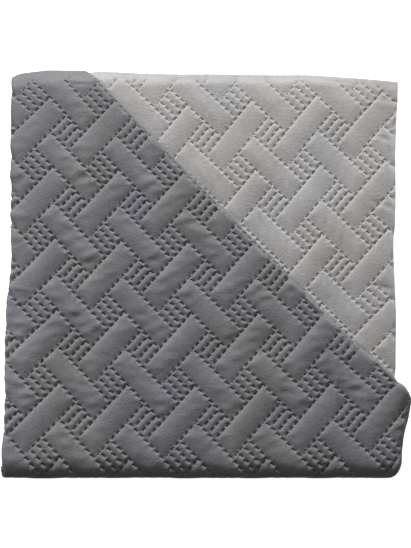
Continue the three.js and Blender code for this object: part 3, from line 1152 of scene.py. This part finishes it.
            runs = (run[:, None] + drawn[None, :, 0]).ravel()
            acrosses = (across[:, None] + drawn[None, :, 1]).ravel()
            places_u.append(runs if rows.rising else acrosses)
            places_v.append(acrosses if rows.rising else runs)
        return quilting.place(np.concatenate(places_u), np.concatenate(places_v))

    def fine_share(self, face: Face, across: Array, along: Array) -> Array:
        """Work out where a face's quilting is modelled.

        Args:
            face: The face.
            across: Places across the cloth.
            along: Places along the cloth.

        Returns:
            A distance in mm inside the modelled region, less than nothing outside it.
        """
        plan = self.plan
        starts = plan.layer_starts
        if face is Face.DARK:
            inside = np.minimum(starts[1] - across, along)
            inside = np.minimum(inside, across - plan.first_across(along))
            inside = np.minimum(inside, plan.stretches[2].start - along)
            return np.minimum(inside, plan.rim_start - 1.3 - plan.rim_distance(across, along))
        x = plan.left_fold + across - starts[2]
        mirrored = plan.right_fold - x
        inside = np.minimum(starts[3] - across, across - starts[2])
        inside = np.minimum(inside, along - plan.first_along(across))
        return np.minimum(inside, plan.rim_distance(mirrored, along) + 6.0)

    def seen(self, face: Face, across: Array, along: Array) -> tuple[Array, Array]:
        """Work out where a face's shown layer would be seen from above if it lay flat.

        Args:
            face: The face.
            across: Places across the cloth.
            along: Places along the cloth.

        Returns:
            Places to the right and to the back, in mm.
        """
        plan = self.plan
        y = plan.hem_y - along
        second = plan.layer_starts[2]
        x = plan.right_fold - across if face is Face.DARK else plan.left_fold + across - second
        return plan.leant(x, np.clip(y, plan.front_y, plan.hem_y)), y

    def from_hem(self, across: Array, along: Array) -> Array:
        """Measure how far places lie inside the cloth's hems, in mm."""
        plan = self.plan
        inside = np.minimum(along - plan.first_along(across), plan.length - along)
        return np.minimum(inside, np.minimum(across - plan.first_across(along), plan.width - across))

    def welded(self, face: Face, across: Array, along: Array) -> Array:
        """Return how fully the weld dashes are pressed, from 0 at the hems to 1."""
        if face is Face.DARK:
            return smooth((self.from_hem(across, along) - self.dark_band) / 6.0)
        band = look_up(self.light_band, self.seen(face, across, along)[0])
        return smooth((self.from_hem(across, along) - band) / 2.0)

    def dark_fade(self, across: Array, along: Array) -> Array:
        """Return how fully the dark face's quilting stands, from 0 at the hems and under the fold."""
        plan = self.plan
        wrap = plan.stretches[1]
        fade = risen(self.from_hem(across, along), self.dark_hem)
        fade = fade * smooth((plan.rim_start + 1.5 - plan.rim_distance(across, along)) / 2.5)
        fade = fade * smooth((plan.layer_starts[1] + 7.0 - across) / 5.0)
        fade = fade * blend(1.0, self.wrapped_share, smooth((along - wrap.start - 12.0) / 22.0))
        return fade * smooth((wrap.start + wrap.length - along) / 22.0)

    def light_fade(self, across: Array, along: Array) -> Array:
        """Return how fully the light face's quilting stands, from 0 at the hems and at the rim."""
        plan = self.plan
        starts = plan.layer_starts
        fade = risen(self.from_hem(across, along), self.light_hem)
        fade = fade * smooth((starts[3] + 2.5 - across) / 6.0)
        rim = plan.rim_distance(plan.right_fold - plan.left_fold - across + starts[2], along)
        on_top = (across > starts[2]) & (along < plan.stretches[0].length)
        return fade * smooth((rim + 2.0) / 4.0) * on_top

    def relief(self, face: Face, across: Array, along: Array) -> tuple[Array, Array]:
        """Work out how far a face stands proud of the plain cloth.

        Args:
            face: The face.
            across: Places across the cloth.
            along: Places along the cloth.

        Returns:
            Its height over the plain cloth, in mm, and how deep in a weld each place lies.
        """
        plan = self.plan
        height, depth = np.zeros(across.shape), np.zeros(across.shape)
        if face is Face.DARK:
            fade = self.dark_fade(across, along)
            quilting, puff, creases = TOP_QUILTING, self.top_puff, self.top_creases
        else:
            fade = self.light_fade(across, along)
            quilting, puff, creases = SECOND_QUILTING, self.second_puff, self.second_creases
        shown = fade > 0
        x, y = (places[shown] for places in self.seen(face, across, along))
        u, v = quilting.blocks(x, y)
        if face is Face.DARK:
            gathered = smooth(0.6 + 0.7 * ripple(x, y, 60.0, 21))
            gathered = gathered * blend(0.5, 1.2, smooth((y + 185.0) / 70.0))
            wrinkles = self.wrinkle * gathered * ripple(y, x, 12.0, 22, stretch=2.6)
        else:
            wrinkles = 0.5 * self.wrinkle * ripple(x, y, 9.0, 23, stretch=3.0)
        quilted, sunk = puff.height(u, v, quilting.slants, wrinkles)
        quilted = quilted * blend(puff.front_share, puff.back_share, risen(y, self.slack))
        loose = self.unevenness * ripple(x, y, 85.0, 24)
        for crease in creases:
            loose = loose + crease.relief(x, y)
        pressed = smooth((along[shown] - plan.stretches[1].start) / 25.0)
        loose = loose * smooth(fade[shown] * 3.0) * blend(1.0, self.wrapped_creases, pressed)
        height[shown] = quilted * fade[shown] + loose
        depth[shown] = sunk * fade[shown]
        return height, depth

    def draw(
        self, face: Face, outline: list[Place], rim: list[list[Place]]
    ) -> tuple[FlatDrawing, list[int]]:
        """Draw a face flat.

        Args:
            face: The face.
            outline: The cloth's outline.
            rim: The lines of the diagonal fold.

        Returns:
            The drawing, and the numbers of the outline's points.
        """
        plan = self.plan
        starts = plan.layer_starts
        drawing = FlatDrawing()
        edge = drawing.line(outline, closed=True)
        for line in rim:
            drawing.line(line)
        quilting = TOP_QUILTING if face is Face.DARK else SECOND_QUILTING
        x, y = self.lattice(quilting)
        x = plan.upright(x, np.clip(y, plan.front_y, plan.hem_y))
        across = plan.right_fold - x if face is Face.DARK else starts[2] + x - plan.left_fold
        along = plan.hem_y - y
        keep = self.fine_share(face, across, along) > 1.3
        drawing.scatter(across[keep], along[keep])

        allowed = self.sparse_places(face)
        self.draw_bends(drawing, face)
        self.draw_turns(drawing, face, allowed)
        for a, s in sorted(allowed):
            if 0 < a < plan.width and s < plan.length:
                drawing.point(a, s)
        return drawing, edge

    def sparse_places(self, face: Face) -> set[Place]:
        """Choose the crossings of columns and rows that carry a point where no quilting is modelled.

        Args:
            face: The face.

        Returns:
            Their flat places.
        """
        plan = self.plan
        columns, rows = self.across_lines(), self.along_lines()
        columns_a, rows_s = (grid.ravel() for grid in np.meshgrid(columns, rows))
        fine = self.fine_share(face, columns_a, rows_s) > -1.5
        rim_gap = plan.rim_distance(columns_a, rows_s) - plan.rim_start
        on_top = (columns_a < plan.layer_starts[1]) & (rows_s < plan.stretches[0].length + 2.0)
        near_rim = on_top & (rim_gap > -4.0) & (rim_gap < math.pi * plan.rim_radius + 5.0)
        near_hem = rows_s < plan.first_along(columns_a) + 1.0
        kept = ~(fine | near_rim | near_hem)
        allowed = {(round(a, 3), round(s, 3)) for a, s in zip(columns_a[kept], rows_s[kept])}
        on_bend = {round(a, 3) for a in columns if self.is_bend(a)}
        allowed |= {
            (round(a, 3), round(s, 3))
            for a, s, hem in zip(columns_a, rows_s, near_hem)
            if round(a, 3) in on_bend and not hem
        }
        return allowed

    def draw_bends(self, drawing: FlatDrawing, face: Face) -> None:
        """Draw lines along the side bends, with closer points on the bend that shows.

        Args:
            drawing: The drawing that they are added to.
            face: The face.
        """
        plan = self.plan
        rows = self.along_lines()
        dense = list(np.arange(4.0, plan.stretches[1].start + 60.0, 2.5))
        shown = 1 if face is Face.DARK else 3
        low, high = plan.layer_starts[shown : shown + 2]
        for a in self.across_lines():
            if a <= 0 or a >= plan.width or not self.is_bend(a):
                continue
            stops = rows + dense if low <= a <= high else rows
            hem = float(plan.first_along(np.array([a]))[0])
            stops = sorted({round(s, 3) for s in stops if hem + 1.0 < s < plan.length})
            spaced = [stops[0]]
            for stop in stops[1:]:
                if stop - spaced[-1] > 0.8 or stop in rows:
                    spaced.append(stop)
            drawing.line([(a, hem), *((a, s) for s in spaced), (a, plan.length)])

    def draw_turns(self, drawing: FlatDrawing, face: Face, allowed: set[Place]) -> None:
        """Draw lines across the cloth, from where the top pass starts to turn down.

        Args:
            drawing: The drawing that they are added to.
            face: The face.
            allowed: The crossings that carry a point.
        """
        plan = self.plan
        columns = self.across_lines()
        for s in (s for s in self.along_lines() if s >= plan.stretches[0].length - 0.01):
            first = round(float(plan.first_across(np.array([s]))[0]), 3)
            run: list[Place] = []
            if face is Face.LIGHT or s > plan.stretches[2].start:
                run.append((first, s))
            for a in (a for a in columns if max(first, 0.0) < a < plan.width):
                if (round(a, 3), round(s, 3)) in allowed:
                    run.append((a, s))
                    continue
                if len(run) > 1:
                    drawing.line(run)
                run = []
            run.append((plan.width, s))
            if s < plan.length - 0.01:
                drawing.line(run)

    def build(self) -> bpy.types.Object:
        """Build the cloth as one closed mesh.

        Returns:
            The cloth, at the origin.
        """
        plan = self.plan
        rim = self.rim_places()
        outline = self.outline(rim)
        sides = {}
        for face in Face:
            drawing, edge = self.draw(face, outline, rim)
            flat, corners, renumbered = drawing.fill()
            across, along = flat[:, 0], flat[:, 1]
            raised, depth = self.relief(face, across, along)
            points = plan.place(across, along, face.value * (plan.half + raised))
            rim_numbers = np.array([renumbered[number] for number in edge])
            sides[face] = (flat, corners, points, rim_numbers, depth)
            LOG.info("%s face: %d points, %d triangles", face.name.lower(), len(flat), len(corners))
        dark, light = sides[Face.DARK], sides[Face.LIGHT]
        count = len(dark[0])
        hem_points, hem_flat, hem_faces, hem_sides = self.hem(dark, light, count)
        points = np.concatenate((dark[2], light[2], hem_points))
        flat = np.concatenate((dark[0], light[0], hem_flat))
        faces = np.concatenate((dark[1], light[1][:, ::-1] + count, hem_faces))
        first, second, third = (points[faces[:, k]] for k in range(3))
        volume = float((first * np.cross(second, third)).sum()) / 6
        if volume < 0:
            faces = faces[:, ::-1]
        mesh = bpy.data.meshes.new("coverlet_cloth")
        mesh.from_pydata((self.uneven(points) * MM).tolist(), [], faces.tolist())
        light_side = np.concatenate(
            (np.zeros(len(dark[1]), int), np.ones(len(light[1]), int), np.array(hem_sides, int))
        )
        mesh.polygons.foreach_set("material_index", light_side)
        # The walls of a weld's notch are shaded flat, so that it stays as crisp as melted cloth
        depth = np.concatenate((dark[4], light[4], np.zeros(len(hem_points))))
        mesh.polygons.foreach_set("use_smooth", depth[faces].max(axis=1) < 0.3)
        self.chart(mesh, flat, faces, light_side)
        modelled = np.concatenate(
            [np.clip(self.fine_share(face, *sides[face][0].T) / 2, 0, 1) for face in Face]
            + [np.zeros(len(hem_points))]
        )
        welded = np.concatenate(
            [self.welded(face, *sides[face][0].T) for face in Face] + [np.zeros(len(hem_points))]
        )
        for name, values in (("modelled", modelled), ("welded", welded)):
            layer = mesh.attributes.new(name, "FLOAT", "POINT")
            layer.data.foreach_set("value", values.astype(np.float32))
        mesh.update()
        cloth = bpy.data.objects.new("coverlet_cloth", mesh)
        bpy.context.scene.collection.objects.link(cloth)
        LOG.info("cloth: %d triangles, %.3f litres", len(faces), abs(volume) / 1e6)
        return cloth

    def hem(self, dark: tuple, light: tuple, count: int) -> tuple[Array, Array, Array, list[int]]:
        """Round the cloth's edge between its two faces.

        Args:
            dark: The dark face's flat places, triangles, points and outline.
            light: The light face's.
            count: How many points the dark face has.

        Returns:
            The edge's points and flat places, its triangles, and the face that each belongs to.
        """
        plan = self.plan
        flat = dark[0][dark[3]]
        top, low = dark[2][dark[3]], light[2][light[3]]
        middle, up = (top + low) / 2, (top - low) / 2
        centre = np.array([plan.width / 2, plan.length / 2])
        step = np.sign(centre - flat) * 0.6
        ends = np.abs(flat[:, 1] - plan.length) < 0.01
        sides = (flat[:, 0] < 0.5) | (np.abs(flat[:, 0] - plan.width) < 0.01)
        step[~sides & ~ends, 0] = 0.0
        step[ends & ~sides, 0] = 0.0
        step[sides & ~ends & (flat[:, 1] > 1.0), 1] = 0.0
        inner = plan.place(*(flat + step).T, np.zeros(len(flat)))
        out = middle - inner
        out -= up * ((out * up).sum(1) / np.maximum((up * up).sum(1), 1e-9))[:, None]
        out /= np.maximum(np.linalg.norm(out, axis=1), 1e-9)[:, None]
        out *= np.linalg.norm(up, axis=1)[:, None]
        rings = []
        for angle in (45.0, 90.0, 135.0):
            turn = math.radians(angle)
            rings.append(middle + math.cos(turn) * up + self.hem_bulge * math.sin(turn) * out)
        size = len(flat)
        base = count + len(light[0])
        numbers = [dark[3], *(base + size * k + np.arange(size) for k in range(3)), light[3] + count]
        faces, side = [], []
        for row, (upper, lower) in enumerate(zip(numbers, numbers[1:])):
            after_upper, after_lower = np.roll(upper, -1), np.roll(lower, -1)
            faces.append(np.column_stack((upper, lower, after_lower)))
            faces.append(np.column_stack((upper, after_lower, after_upper)))
            side.extend([int(row >= 2)] * (2 * size))
        return np.concatenate(rings), np.tile(flat, (3, 1)), np.concatenate(faces), side

    def uneven(self, points: Array) -> Array:
        """Press the pack's front flatter, and give it the unevenness of a pack folded by hand.

        Args:
            points: Points of the neat pack, in mm.

        Returns:
            The same points where the uneven pack has them.
        """
        plan = self.plan
        moved = points.copy()
        x, y, z = points.T
        middle = (plan.top_base + plan.top_level) / 2
        deep = plan.wrap_y + plan.origin[1] - y
        wrapped = deep > 0
        run = deep[wrapped] / (plan.wrap_y - plan.front_y)
        rise = (z[wrapped] - middle) / middle
        squared = self.squareness
        grown = np.hypot(run, rise) / (run**squared + np.abs(rise) ** squared) ** (1 / squared)
        moved[wrapped, 1] = y[wrapped] - (grown - 1.0) * deep[wrapped]
        moved[wrapped, 2] = middle + grown * (z[wrapped] - middle)
        moved[:, 0] += 0.5 * ripple(y, z * 3.0, 70.0, 11) * np.abs(x) / 200.0
        moved[:, 1] += 0.4 * ripple(x, z * 3.0, 90.0, 12) * np.maximum(y, -30.0) / 200.0
        moved[:, 2] *= 1.0 + 0.006 * ripple(x, y, 130.0, 13)
        near_left = risen(-x, self.left_side)
        near_right = risen(x, self.right_side)
        moved[:, 0] += near_left * look_up(self.left_sway, y)
        moved[:, 0] += near_right * look_up(self.right_sway, y)
        for pull in self.pulls:
            share = np.exp(-((x - pull.place[0]) ** 2 + (y - pull.place[1]) ** 2) / pull.reach**2)
            moved[:, 0] += share * pull.shift[0]
            moved[:, 1] += share * pull.shift[1]
        # The back left corner is rounded by handling
        left = self.worn_corner[0] - moved[:, 0]
        back = moved[:, 1] - self.worn_corner[1]
        corner = (left > 0) & (back > 0)
        round_share = np.maximum(left, back)[corner] / np.hypot(left, back)[corner]
        moved[corner, 0] = self.worn_corner[0] - round_share * left[corner]
        moved[corner, 1] = self.worn_corner[1] + round_share * back[corner]
        return moved

    def chart(self, mesh: bpy.types.Mesh, flat: Array, faces: Array, light_side: Array) -> None:
        """Store where the quilting and the threads lie on the cloth.

        Args:
            mesh: The cloth's mesh.
            flat: The flat place of each point.
            faces: The triangles.
            light_side: 0 on the dark face and 1 on the light one.
        """
        corner = faces.ravel()
        across, along = flat[corner, 0], flat[corner, 1]
        dark = TOP_QUILTING.cells(*self.seen(Face.DARK, across, along))
        light = SECOND_QUILTING.cells(*self.seen(Face.LIGHT, across, along))
        on_light = np.repeat(light_side, 3) == 1
        cells = [np.where(on_light, light[axis], dark[axis]) for axis in (0, 1)]
        quilting = mesh.uv_layers.new(name="Quilting")
        quilting.data.foreach_set("uv", np.column_stack(cells).astype(np.float32).ravel())
        threads = mesh.uv_layers.new(name="Threads")
        threads.data.foreach_set("uv", (flat[corner] * MM).astype(np.float32).ravel())


def linear(code: str) -> Colour:
    """Turn an sRGB hex code into a linear colour.

    Args:
        code: Six hex digits after a hash mark.

    Returns:
        Red, green, blue and full alpha.
    """
    shades = [int(code[k : k + 2], 16) / 255 for k in (1, 3, 5)]
    parts = [s / 12.92 if s <= 0.04045 else ((s + 0.055) / 1.055) ** 2.4 for s in shades]
    return (parts[0], parts[1], parts[2], 1.0)


def add_node(
    tree: Tree, kind: str, settings: dict | None = None, inputs: dict | None = None
) -> bpy.types.Node:
    """Add a node to a tree.

    Args:
        tree: The node tree.
        kind: The node's type.
        settings: Its properties, by name.
        inputs: Its inputs, by name or number: a value, or the output that feeds it.

    Returns:
        The node.
    """
    node = tree.nodes.new(kind)
    for name, value in (settings or {}).items():
        setattr(node, name, value)
    for name, value in (inputs or {}).items():
        if isinstance(value, Socket):
            tree.links.new(value, node.inputs[name])
        else:
            node.inputs[name].default_value = value
    return node


def calculate(tree: Tree, operation: str, *values: Socket | float) -> Socket:
    """Add a node that calculates with values, and return its result."""
    return add_node(tree, "ShaderNodeMath", {"operation": operation}, dict(enumerate(values))).outputs[0]


def noise(tree: Tree, places: Socket, scale: float, detail: float) -> Socket:
    """Add an uneven pattern, by its waves a metre and how fine it goes, and return it."""
    inputs = {"Vector": places, "Scale": scale, "Detail": detail}
    return add_node(tree, "ShaderNodeTexNoise", {}, inputs).outputs[0]


def spread(tree: Tree, value: Socket, low: float, high: float) -> Socket:
    """Add a node that turns the values between two into 0 to 1, and return its result."""
    inputs = {"Value": value, "From Min": low, "From Max": high}
    return add_node(tree, "ShaderNodeMapRange", {}, inputs).outputs[0]


def mix(tree: Tree, share: Socket, first: Colour | Socket, second: Colour | Socket) -> Socket:
    """Add a mix of two colours, and return it."""
    inputs = {0: share, 6: first, 7: second}
    return add_node(tree, "ShaderNodeMix", {"data_type": "RGBA"}, inputs).outputs[2]


@dataclass(frozen=True)
class BrushedPolyester:
    """Brushed polyester microfibre with weld dashes melted into it.

    Its short nap scatters light, so it is matt with a faint pale sheen, and the welds are darker
    and a little smoother where the fibres have melted. Its patterns are in waves a metre, and its
    heights in metres.
    """

    name: str
    cloth: str
    warm: str
    worn: str
    weld: str
    slants: tuple[float, float]
    roughness: float = 0.86
    sheen: float = 0.6
    weld_depth: float = 0.85
    weld_roughness: float = 0.6
    clouds: float = 26.0
    slubs: tuple[float, float, float] = (240.0, 850.0, 1.0)
    nap: float = 330.0
    dye_lots: float = 11.0
    wrinkles: float = 420.0
    wrinkle_height: float = 0.0008
    puff_height: float = 0.0022

    def material(self) -> bpy.types.Material:
        """Make the finish.

        Returns:
            The material.
        """
        made = bpy.data.materials.new(self.name)
        made.use_nodes = True
        tree = made.node_tree
        tree.nodes.clear()
        weld, seam = self.weld_mask(tree)
        threads = add_node(tree, "ShaderNodeUVMap", {"uv_map": "Threads"}).outputs[0]
        colour = self.colour(tree, threads, weld)
        normal = self.bump(tree, threads, weld, seam)
        ends = {"Value": weld, "To Min": self.roughness, "To Max": self.weld_roughness}
        rough = add_node(tree, "ShaderNodeMapRange", {}, ends)
        shader = add_node(
            tree,
            "ShaderNodeBsdfPrincipled",
            {},
            {
                "Base Color": colour,
                "Roughness": rough.outputs[0],
                "IOR": 1.5,
                "Specular IOR Level": 0.3,
                "Sheen Weight": self.sheen,
                "Sheen Roughness": 0.3,
                "Sheen Tint": linear("#e8ecf2"),
                "Normal": normal,
            },
        )
        add_node(tree, "ShaderNodeOutputMaterial", {}, {"Surface": shader.outputs[0]})
        return made

    def colour(
        self, tree: Tree, threads: Socket, weld: Socket
    ) -> Socket:
        """Colour the cloth, with faint clouds and slubs and the dark welds.

        Args:
            tree: The finish's nodes.
            threads: Places on the flat cloth, in metres.
            weld: 1 on a weld, 0 off it.

        Returns:
            The colour.
        """
        clouds = noise(tree, threads, self.clouds, 3.0)
        # Slubs of 0.3 mm yarn are drawn 1.2 mm wide, or they wouldn't show in the render
        long = add_node(tree, "ShaderNodeMapping", {}, {"Vector": threads, "Scale": self.slubs})
        slubs = noise(tree, long.outputs[0], 1.0, 3.0)
        # The nap lies this way and that in patches of 3 mm
        nap = noise(tree, threads, self.nap, 2.0)
        mottled = calculate(tree, "ADD", calculate(tree, "ADD", clouds, slubs), nap)
        share = spread(tree, mottled, 1.0, 2.0)
        # Two dye lots of fibre are spun together, so the grey leans cool in one place, warm in the next
        lot = spread(tree, noise(tree, threads, self.dye_lots, 1.0), 0.3, 0.7)
        mixed = mix(tree, lot, linear(self.cloth), linear(self.warm))
        cloth = mix(tree, share, mixed, linear(self.worn))
        deep = calculate(tree, "MULTIPLY", weld, self.weld_depth)
        return mix(tree, deep, cloth, linear(self.weld))

    def bump(
        self,
        tree: Tree,
        threads: Socket,
        weld: Socket,
        seam: Socket,
    ) -> Socket:
        """Raise the nap, and the quilting where the mesh leaves it out.

        Args:
            tree: The finish's nodes.
            threads: Places on the flat cloth, in metres.
            weld: 1 on a weld, 0 off it.
            seam: Distance to the nearest row of welds, in widths of a block.

        Returns:
            The normal.
        """
        modelled = add_node(tree, "ShaderNodeAttribute", {"attribute_name": "modelled"}).outputs[2]
        plain = calculate(tree, "SUBTRACT", 1.0, modelled)
        ends = {"Value": seam, "From Min": -0.3, "From Max": 0.3}
        puff = add_node(tree, "ShaderNodeMapRange", {"interpolation_type": "SMOOTHERSTEP"}, ends)
        sunk = calculate(tree, "MULTIPLY_ADD", weld, -0.4, puff.outputs[0])
        quilting = {"Strength": plain, "Distance": self.puff_height, "Height": sunk}
        quilted = add_node(tree, "ShaderNodeBump", {}, quilting).outputs[0]
        # Wrinkles of the nap, 2 to 3 mm apart
        fine = noise(tree, threads, self.wrinkles, 4.0)
        nap = {"Strength": 0.5, "Distance": self.wrinkle_height, "Height": fine, "Normal": quilted}
        return add_node(tree, "ShaderNodeBump", {}, nap).outputs[0]

    def weld_mask(self, tree: Tree) -> tuple[Socket, Socket]:
        """Draw the weld dashes from the same rows as the mesh.

        Args:
            tree: The finish's nodes.

        Returns:
            1 on a weld and 0 off it, and the distance to the nearest row of welds.
        """
        chart = add_node(tree, "ShaderNodeUVMap", {"uv_map": "Quilting"})
        split = add_node(tree, "ShaderNodeSeparateXYZ", {}, {0: chart.outputs[0]})

        def work(steps: Sequence[tuple], known: dict[str, Socket]) -> None:
            """Add a node for each step, which names its result, what it does and what it reads."""
            for name, operation, *reads in steps:
                values = (known[read] if isinstance(read, str) else read for read in reads)
                known[name] = calculate(tree, operation, *values)

        known = {"x": split.outputs[0], "y": split.outputs[1]}
        work(
            (
                ("sum", "ADD", "x", "y"),
                ("difference", "SUBTRACT", "x", "y"),
                ("u", "MULTIPLY", "sum", 2.0),
                ("v", "MULTIPLY", "difference", 2.0),
                ("weld", "MULTIPLY", "x", 0.0),
                ("seam", "ADD", "weld", 1.0),
            ),
            known,
        )
        for rows in WELD_FAMILIES:
            run, across = ("u", "v") if rows.rising else ("v", "u")
            turned = rows.slant(self.slants) * WELD_PITCH * BLOCK * rows.front
            work(
                (
                    ("lowered", "SUBTRACT", across, float(rows.odd)),
                    ("paired", "DIVIDE", "lowered", 2.0),
                    ("counted", "ROUND", "paired"),
                    ("middle", "MULTIPLY_ADD", "counted", 2.0, float(rows.odd)),
                    ("from_middle", "SUBTRACT", across, "middle"),
                    ("distance", "ABSOLUTE", "from_middle"),
                    ("side", "SIGN", "from_middle"),
                    ("from_row", "SUBTRACT", "distance", rows.beside),
                    ("away", "ABSOLUTE", "from_row"),
                    ("forward", "MULTIPLY", "from_row", "side"),
                    ("stepped", "MULTIPLY_ADD", "middle", float(rows.sense), run),
                    ("shifted", "SUBTRACT", "stepped", rows.shift),
                    ("place", "WRAP", "shifted", 2.0, -2.0),
                    ("spread", "ABSOLUTE", "place"),
                    ("in_group", "LESS_THAN", "spread", WELD_PITCH * rows.dashes / 2),
                    ("in_reach", "LESS_THAN", "spread", rows.reach()),
                    ("pitches", "DIVIDE", "place", WELD_PITCH),
                    ("centred", "ADD", "pitches", 0.5 - rows.half),
                    ("fraction", "FRACT", "centred"),
                    ("from_dash", "SUBTRACT", "fraction", 0.5),
                    ("along", "ABSOLUTE", "from_dash"),
                    ("slanted", "MULTIPLY", "from_dash", turned),
                    ("along_mm", "MULTIPLY", "along", WELD_PITCH * BLOCK),
                    ("past", "SUBTRACT", "along_mm", WELD_HALF_LENGTH - WELD_HALF_WIDTH),
                    ("past_end", "MAXIMUM", "past", 0.0),
                    ("ahead", "MULTIPLY_ADD", "forward", BLOCK, -rows.front * WELD_FRONT),
                    ("away_mm", "SUBTRACT", "ahead", "slanted"),
                    ("away_squared", "POWER", "away_mm", 2.0),
                    ("past_squared", "POWER", "past_end", 2.0),
                    ("summed", "ADD", "away_squared", "past_squared"),
                    ("gap", "SQRT", "summed"),
                    ("outside", "DIVIDE", "gap", WELD_HALF_WIDTH),
                    ("inside", "SUBTRACT", 0.5, "outside"),
                    ("sharp", "MULTIPLY", "inside", 4.0),
                    ("held", "MINIMUM", "sharp", 1.0),
                    ("raised", "MAXIMUM", "held", 0.0),
                    ("own", "MULTIPLY", "raised", "in_group"),
                    ("weld", "MAXIMUM", "weld", "own"),
                    ("barred", "SUBTRACT", 1.0, "in_reach"),
                    ("own_seam", "ADD", "away", "barred"),
                    ("seam", "MINIMUM", "seam", "own_seam"),
                ),
                known,
            )
        welded = add_node(tree, "ShaderNodeAttribute", {"attribute_name": "welded"}).outputs[2]
        return calculate(tree, "MULTIPLY", known["weld"], welded), known["seam"]


@dataclass(frozen=True)
class Studio:
    """A plain pale floor, soft light from the back, small cards at the sides, and a camera above."""

    camera_height: float = 2.6
    frame_height: int = 548
    photo_middle: tuple[float, float] = (-0.2, -0.4)
    ambient: float = 0.07
    table_glow: float = 0.88
    table_reach: float = 3.0

    def build(self) -> None:
        """Set the floor, the lights and the camera."""
        self.floor()
        self.light("key", (-0.15, 2.0, 0.95), 0.35, 84.0, "#ffffff")
        self.light("overhead", (0.0, 0.1, 2.2), 1.2, 10.8, "#ffffff")
        self.light("front_fill", (0.3, -1.9, 0.8), 1.0, 0.6, "#ff9a5c")
        self.light("right_card", (0.5, 0.14, 0.012), 0.06, 1.2, "#ffffff", (0.0, 0.14, 0.03))
        self.light("left_card", (-0.5, -0.07, 0.09), 0.08, 0.7, "#ffffff", (-0.2, -0.07, 0.04))
        world = bpy.data.worlds.new("studio")
        world.use_nodes = True
        world.node_tree.nodes["Background"].inputs[0].default_value = linear("#f6f6f7")
        world.node_tree.nodes["Background"].inputs[1].default_value = self.ambient
        bpy.context.scene.world = world
        bpy.context.scene.view_settings.view_transform = "Standard"
        self.camera()

    def floor(self) -> None:
        """Lay the floor."""
        mesh = bpy.data.meshes.new("floor")
        reach = self.table_reach
        corners = [(-reach, -reach, 0), (reach, -reach, 0), (reach, reach, 0), (-reach, reach, 0)]
        mesh.from_pydata(corners, [], [(0, 1, 2, 3)])
        floor = bpy.data.objects.new("floor", mesh)
        bpy.context.scene.collection.objects.link(floor)
        paper = bpy.data.materials.new("studio_paper")
        paper.use_nodes = True
        shader = paper.node_tree.nodes["Principled BSDF"]
        shader.inputs["Base Color"].default_value = linear("#f2f2f1")
        shader.inputs["Roughness"].default_value = 0.9
        # The table is a lit one, which keeps the shadow pale
        shader.inputs["Emission Color"].default_value = linear("#ffffff")
        shader.inputs["Emission Strength"].default_value = self.table_glow
        mesh.materials.append(paper)
        # Its light is kept off the cloth, as a mask around the pack would keep it
        floor.visible_diffuse = False
        floor.visible_glossy = False

    def light(
        self,
        name: str,
        place: tuple[float, float, float],
        size: float,
        power: float,
        colour: str,
        aim: tuple[float, float, float] = (0.0, 0.0, 0.03),
    ) -> None:
        """Hang a square soft light.

        Args:
            name: Its name.
            place: Where it hangs, in metres.
            size: Its side, in metres.
            power: Its power, in watts.
            colour: Its colour, as a hex code.
            aim: The place that it faces, in metres.
        """
        data = bpy.data.lights.new(name, "AREA")
        data.size = size
        data.energy = power
        data.color = linear(colour)[:3]
        lamp = bpy.data.objects.new(name, data)
        lamp.location = place
        lamp.rotation_euler = (Vector(aim) - Vector(place)).to_track_quat("-Z", "Y").to_euler()
        bpy.context.scene.collection.objects.link(lamp)

    def camera(self) -> None:
        """Set the camera straight above, so that a millimetre of the pack's top is a pixel."""
        data = bpy.data.cameras.new("camera")
        data.sensor_fit = "VERTICAL"
        data.sensor_height = 24.0
        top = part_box("coverlet")[1][2]
        away = self.camera_height - top
        data.lens = data.sensor_height * away / (self.frame_height * MM)
        camera = bpy.data.objects.new("camera", data)
        x, y = self.photo_middle
        camera.location = (x * MM, y * MM, self.camera_height)
        bpy.context.scene.collection.objects.link(camera)
        bpy.context.scene.camera = camera


def main() -> None:
    """Build the coverlet and the studio, and log the flat cloth's size."""
    logging.basicConfig(level=logging.INFO, format="%(message)s")
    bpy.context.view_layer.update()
    coverlet = Coverlet()
    cloth = coverlet.build()
    finishes = (
        BrushedPolyester(
            "brushed_polyester_dark_grey",
            "#5c5f68",
            "#65635f",
            "#78777b",
            "#39383b",
            TOP_QUILTING.slants,
        ),
        BrushedPolyester(
            "brushed_polyester_light_grey",
            "#8c8b8b",
            "#928e88",
            "#a4a3a3",
            "#6a6866",
            SECOND_QUILTING.slants,
            weld_depth=0.58,
        ),
    )
    for finish in finishes:
        cloth.data.materials.append(finish.material())
    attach(cloth, "root")
    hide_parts("coverlet")
    width, length = coverlet.plan.flat_size
    LOG.info("flat cloth: %.0f by %.0f mm", width, length)
    Studio().build()


if __name__ == "__main__":
    main()
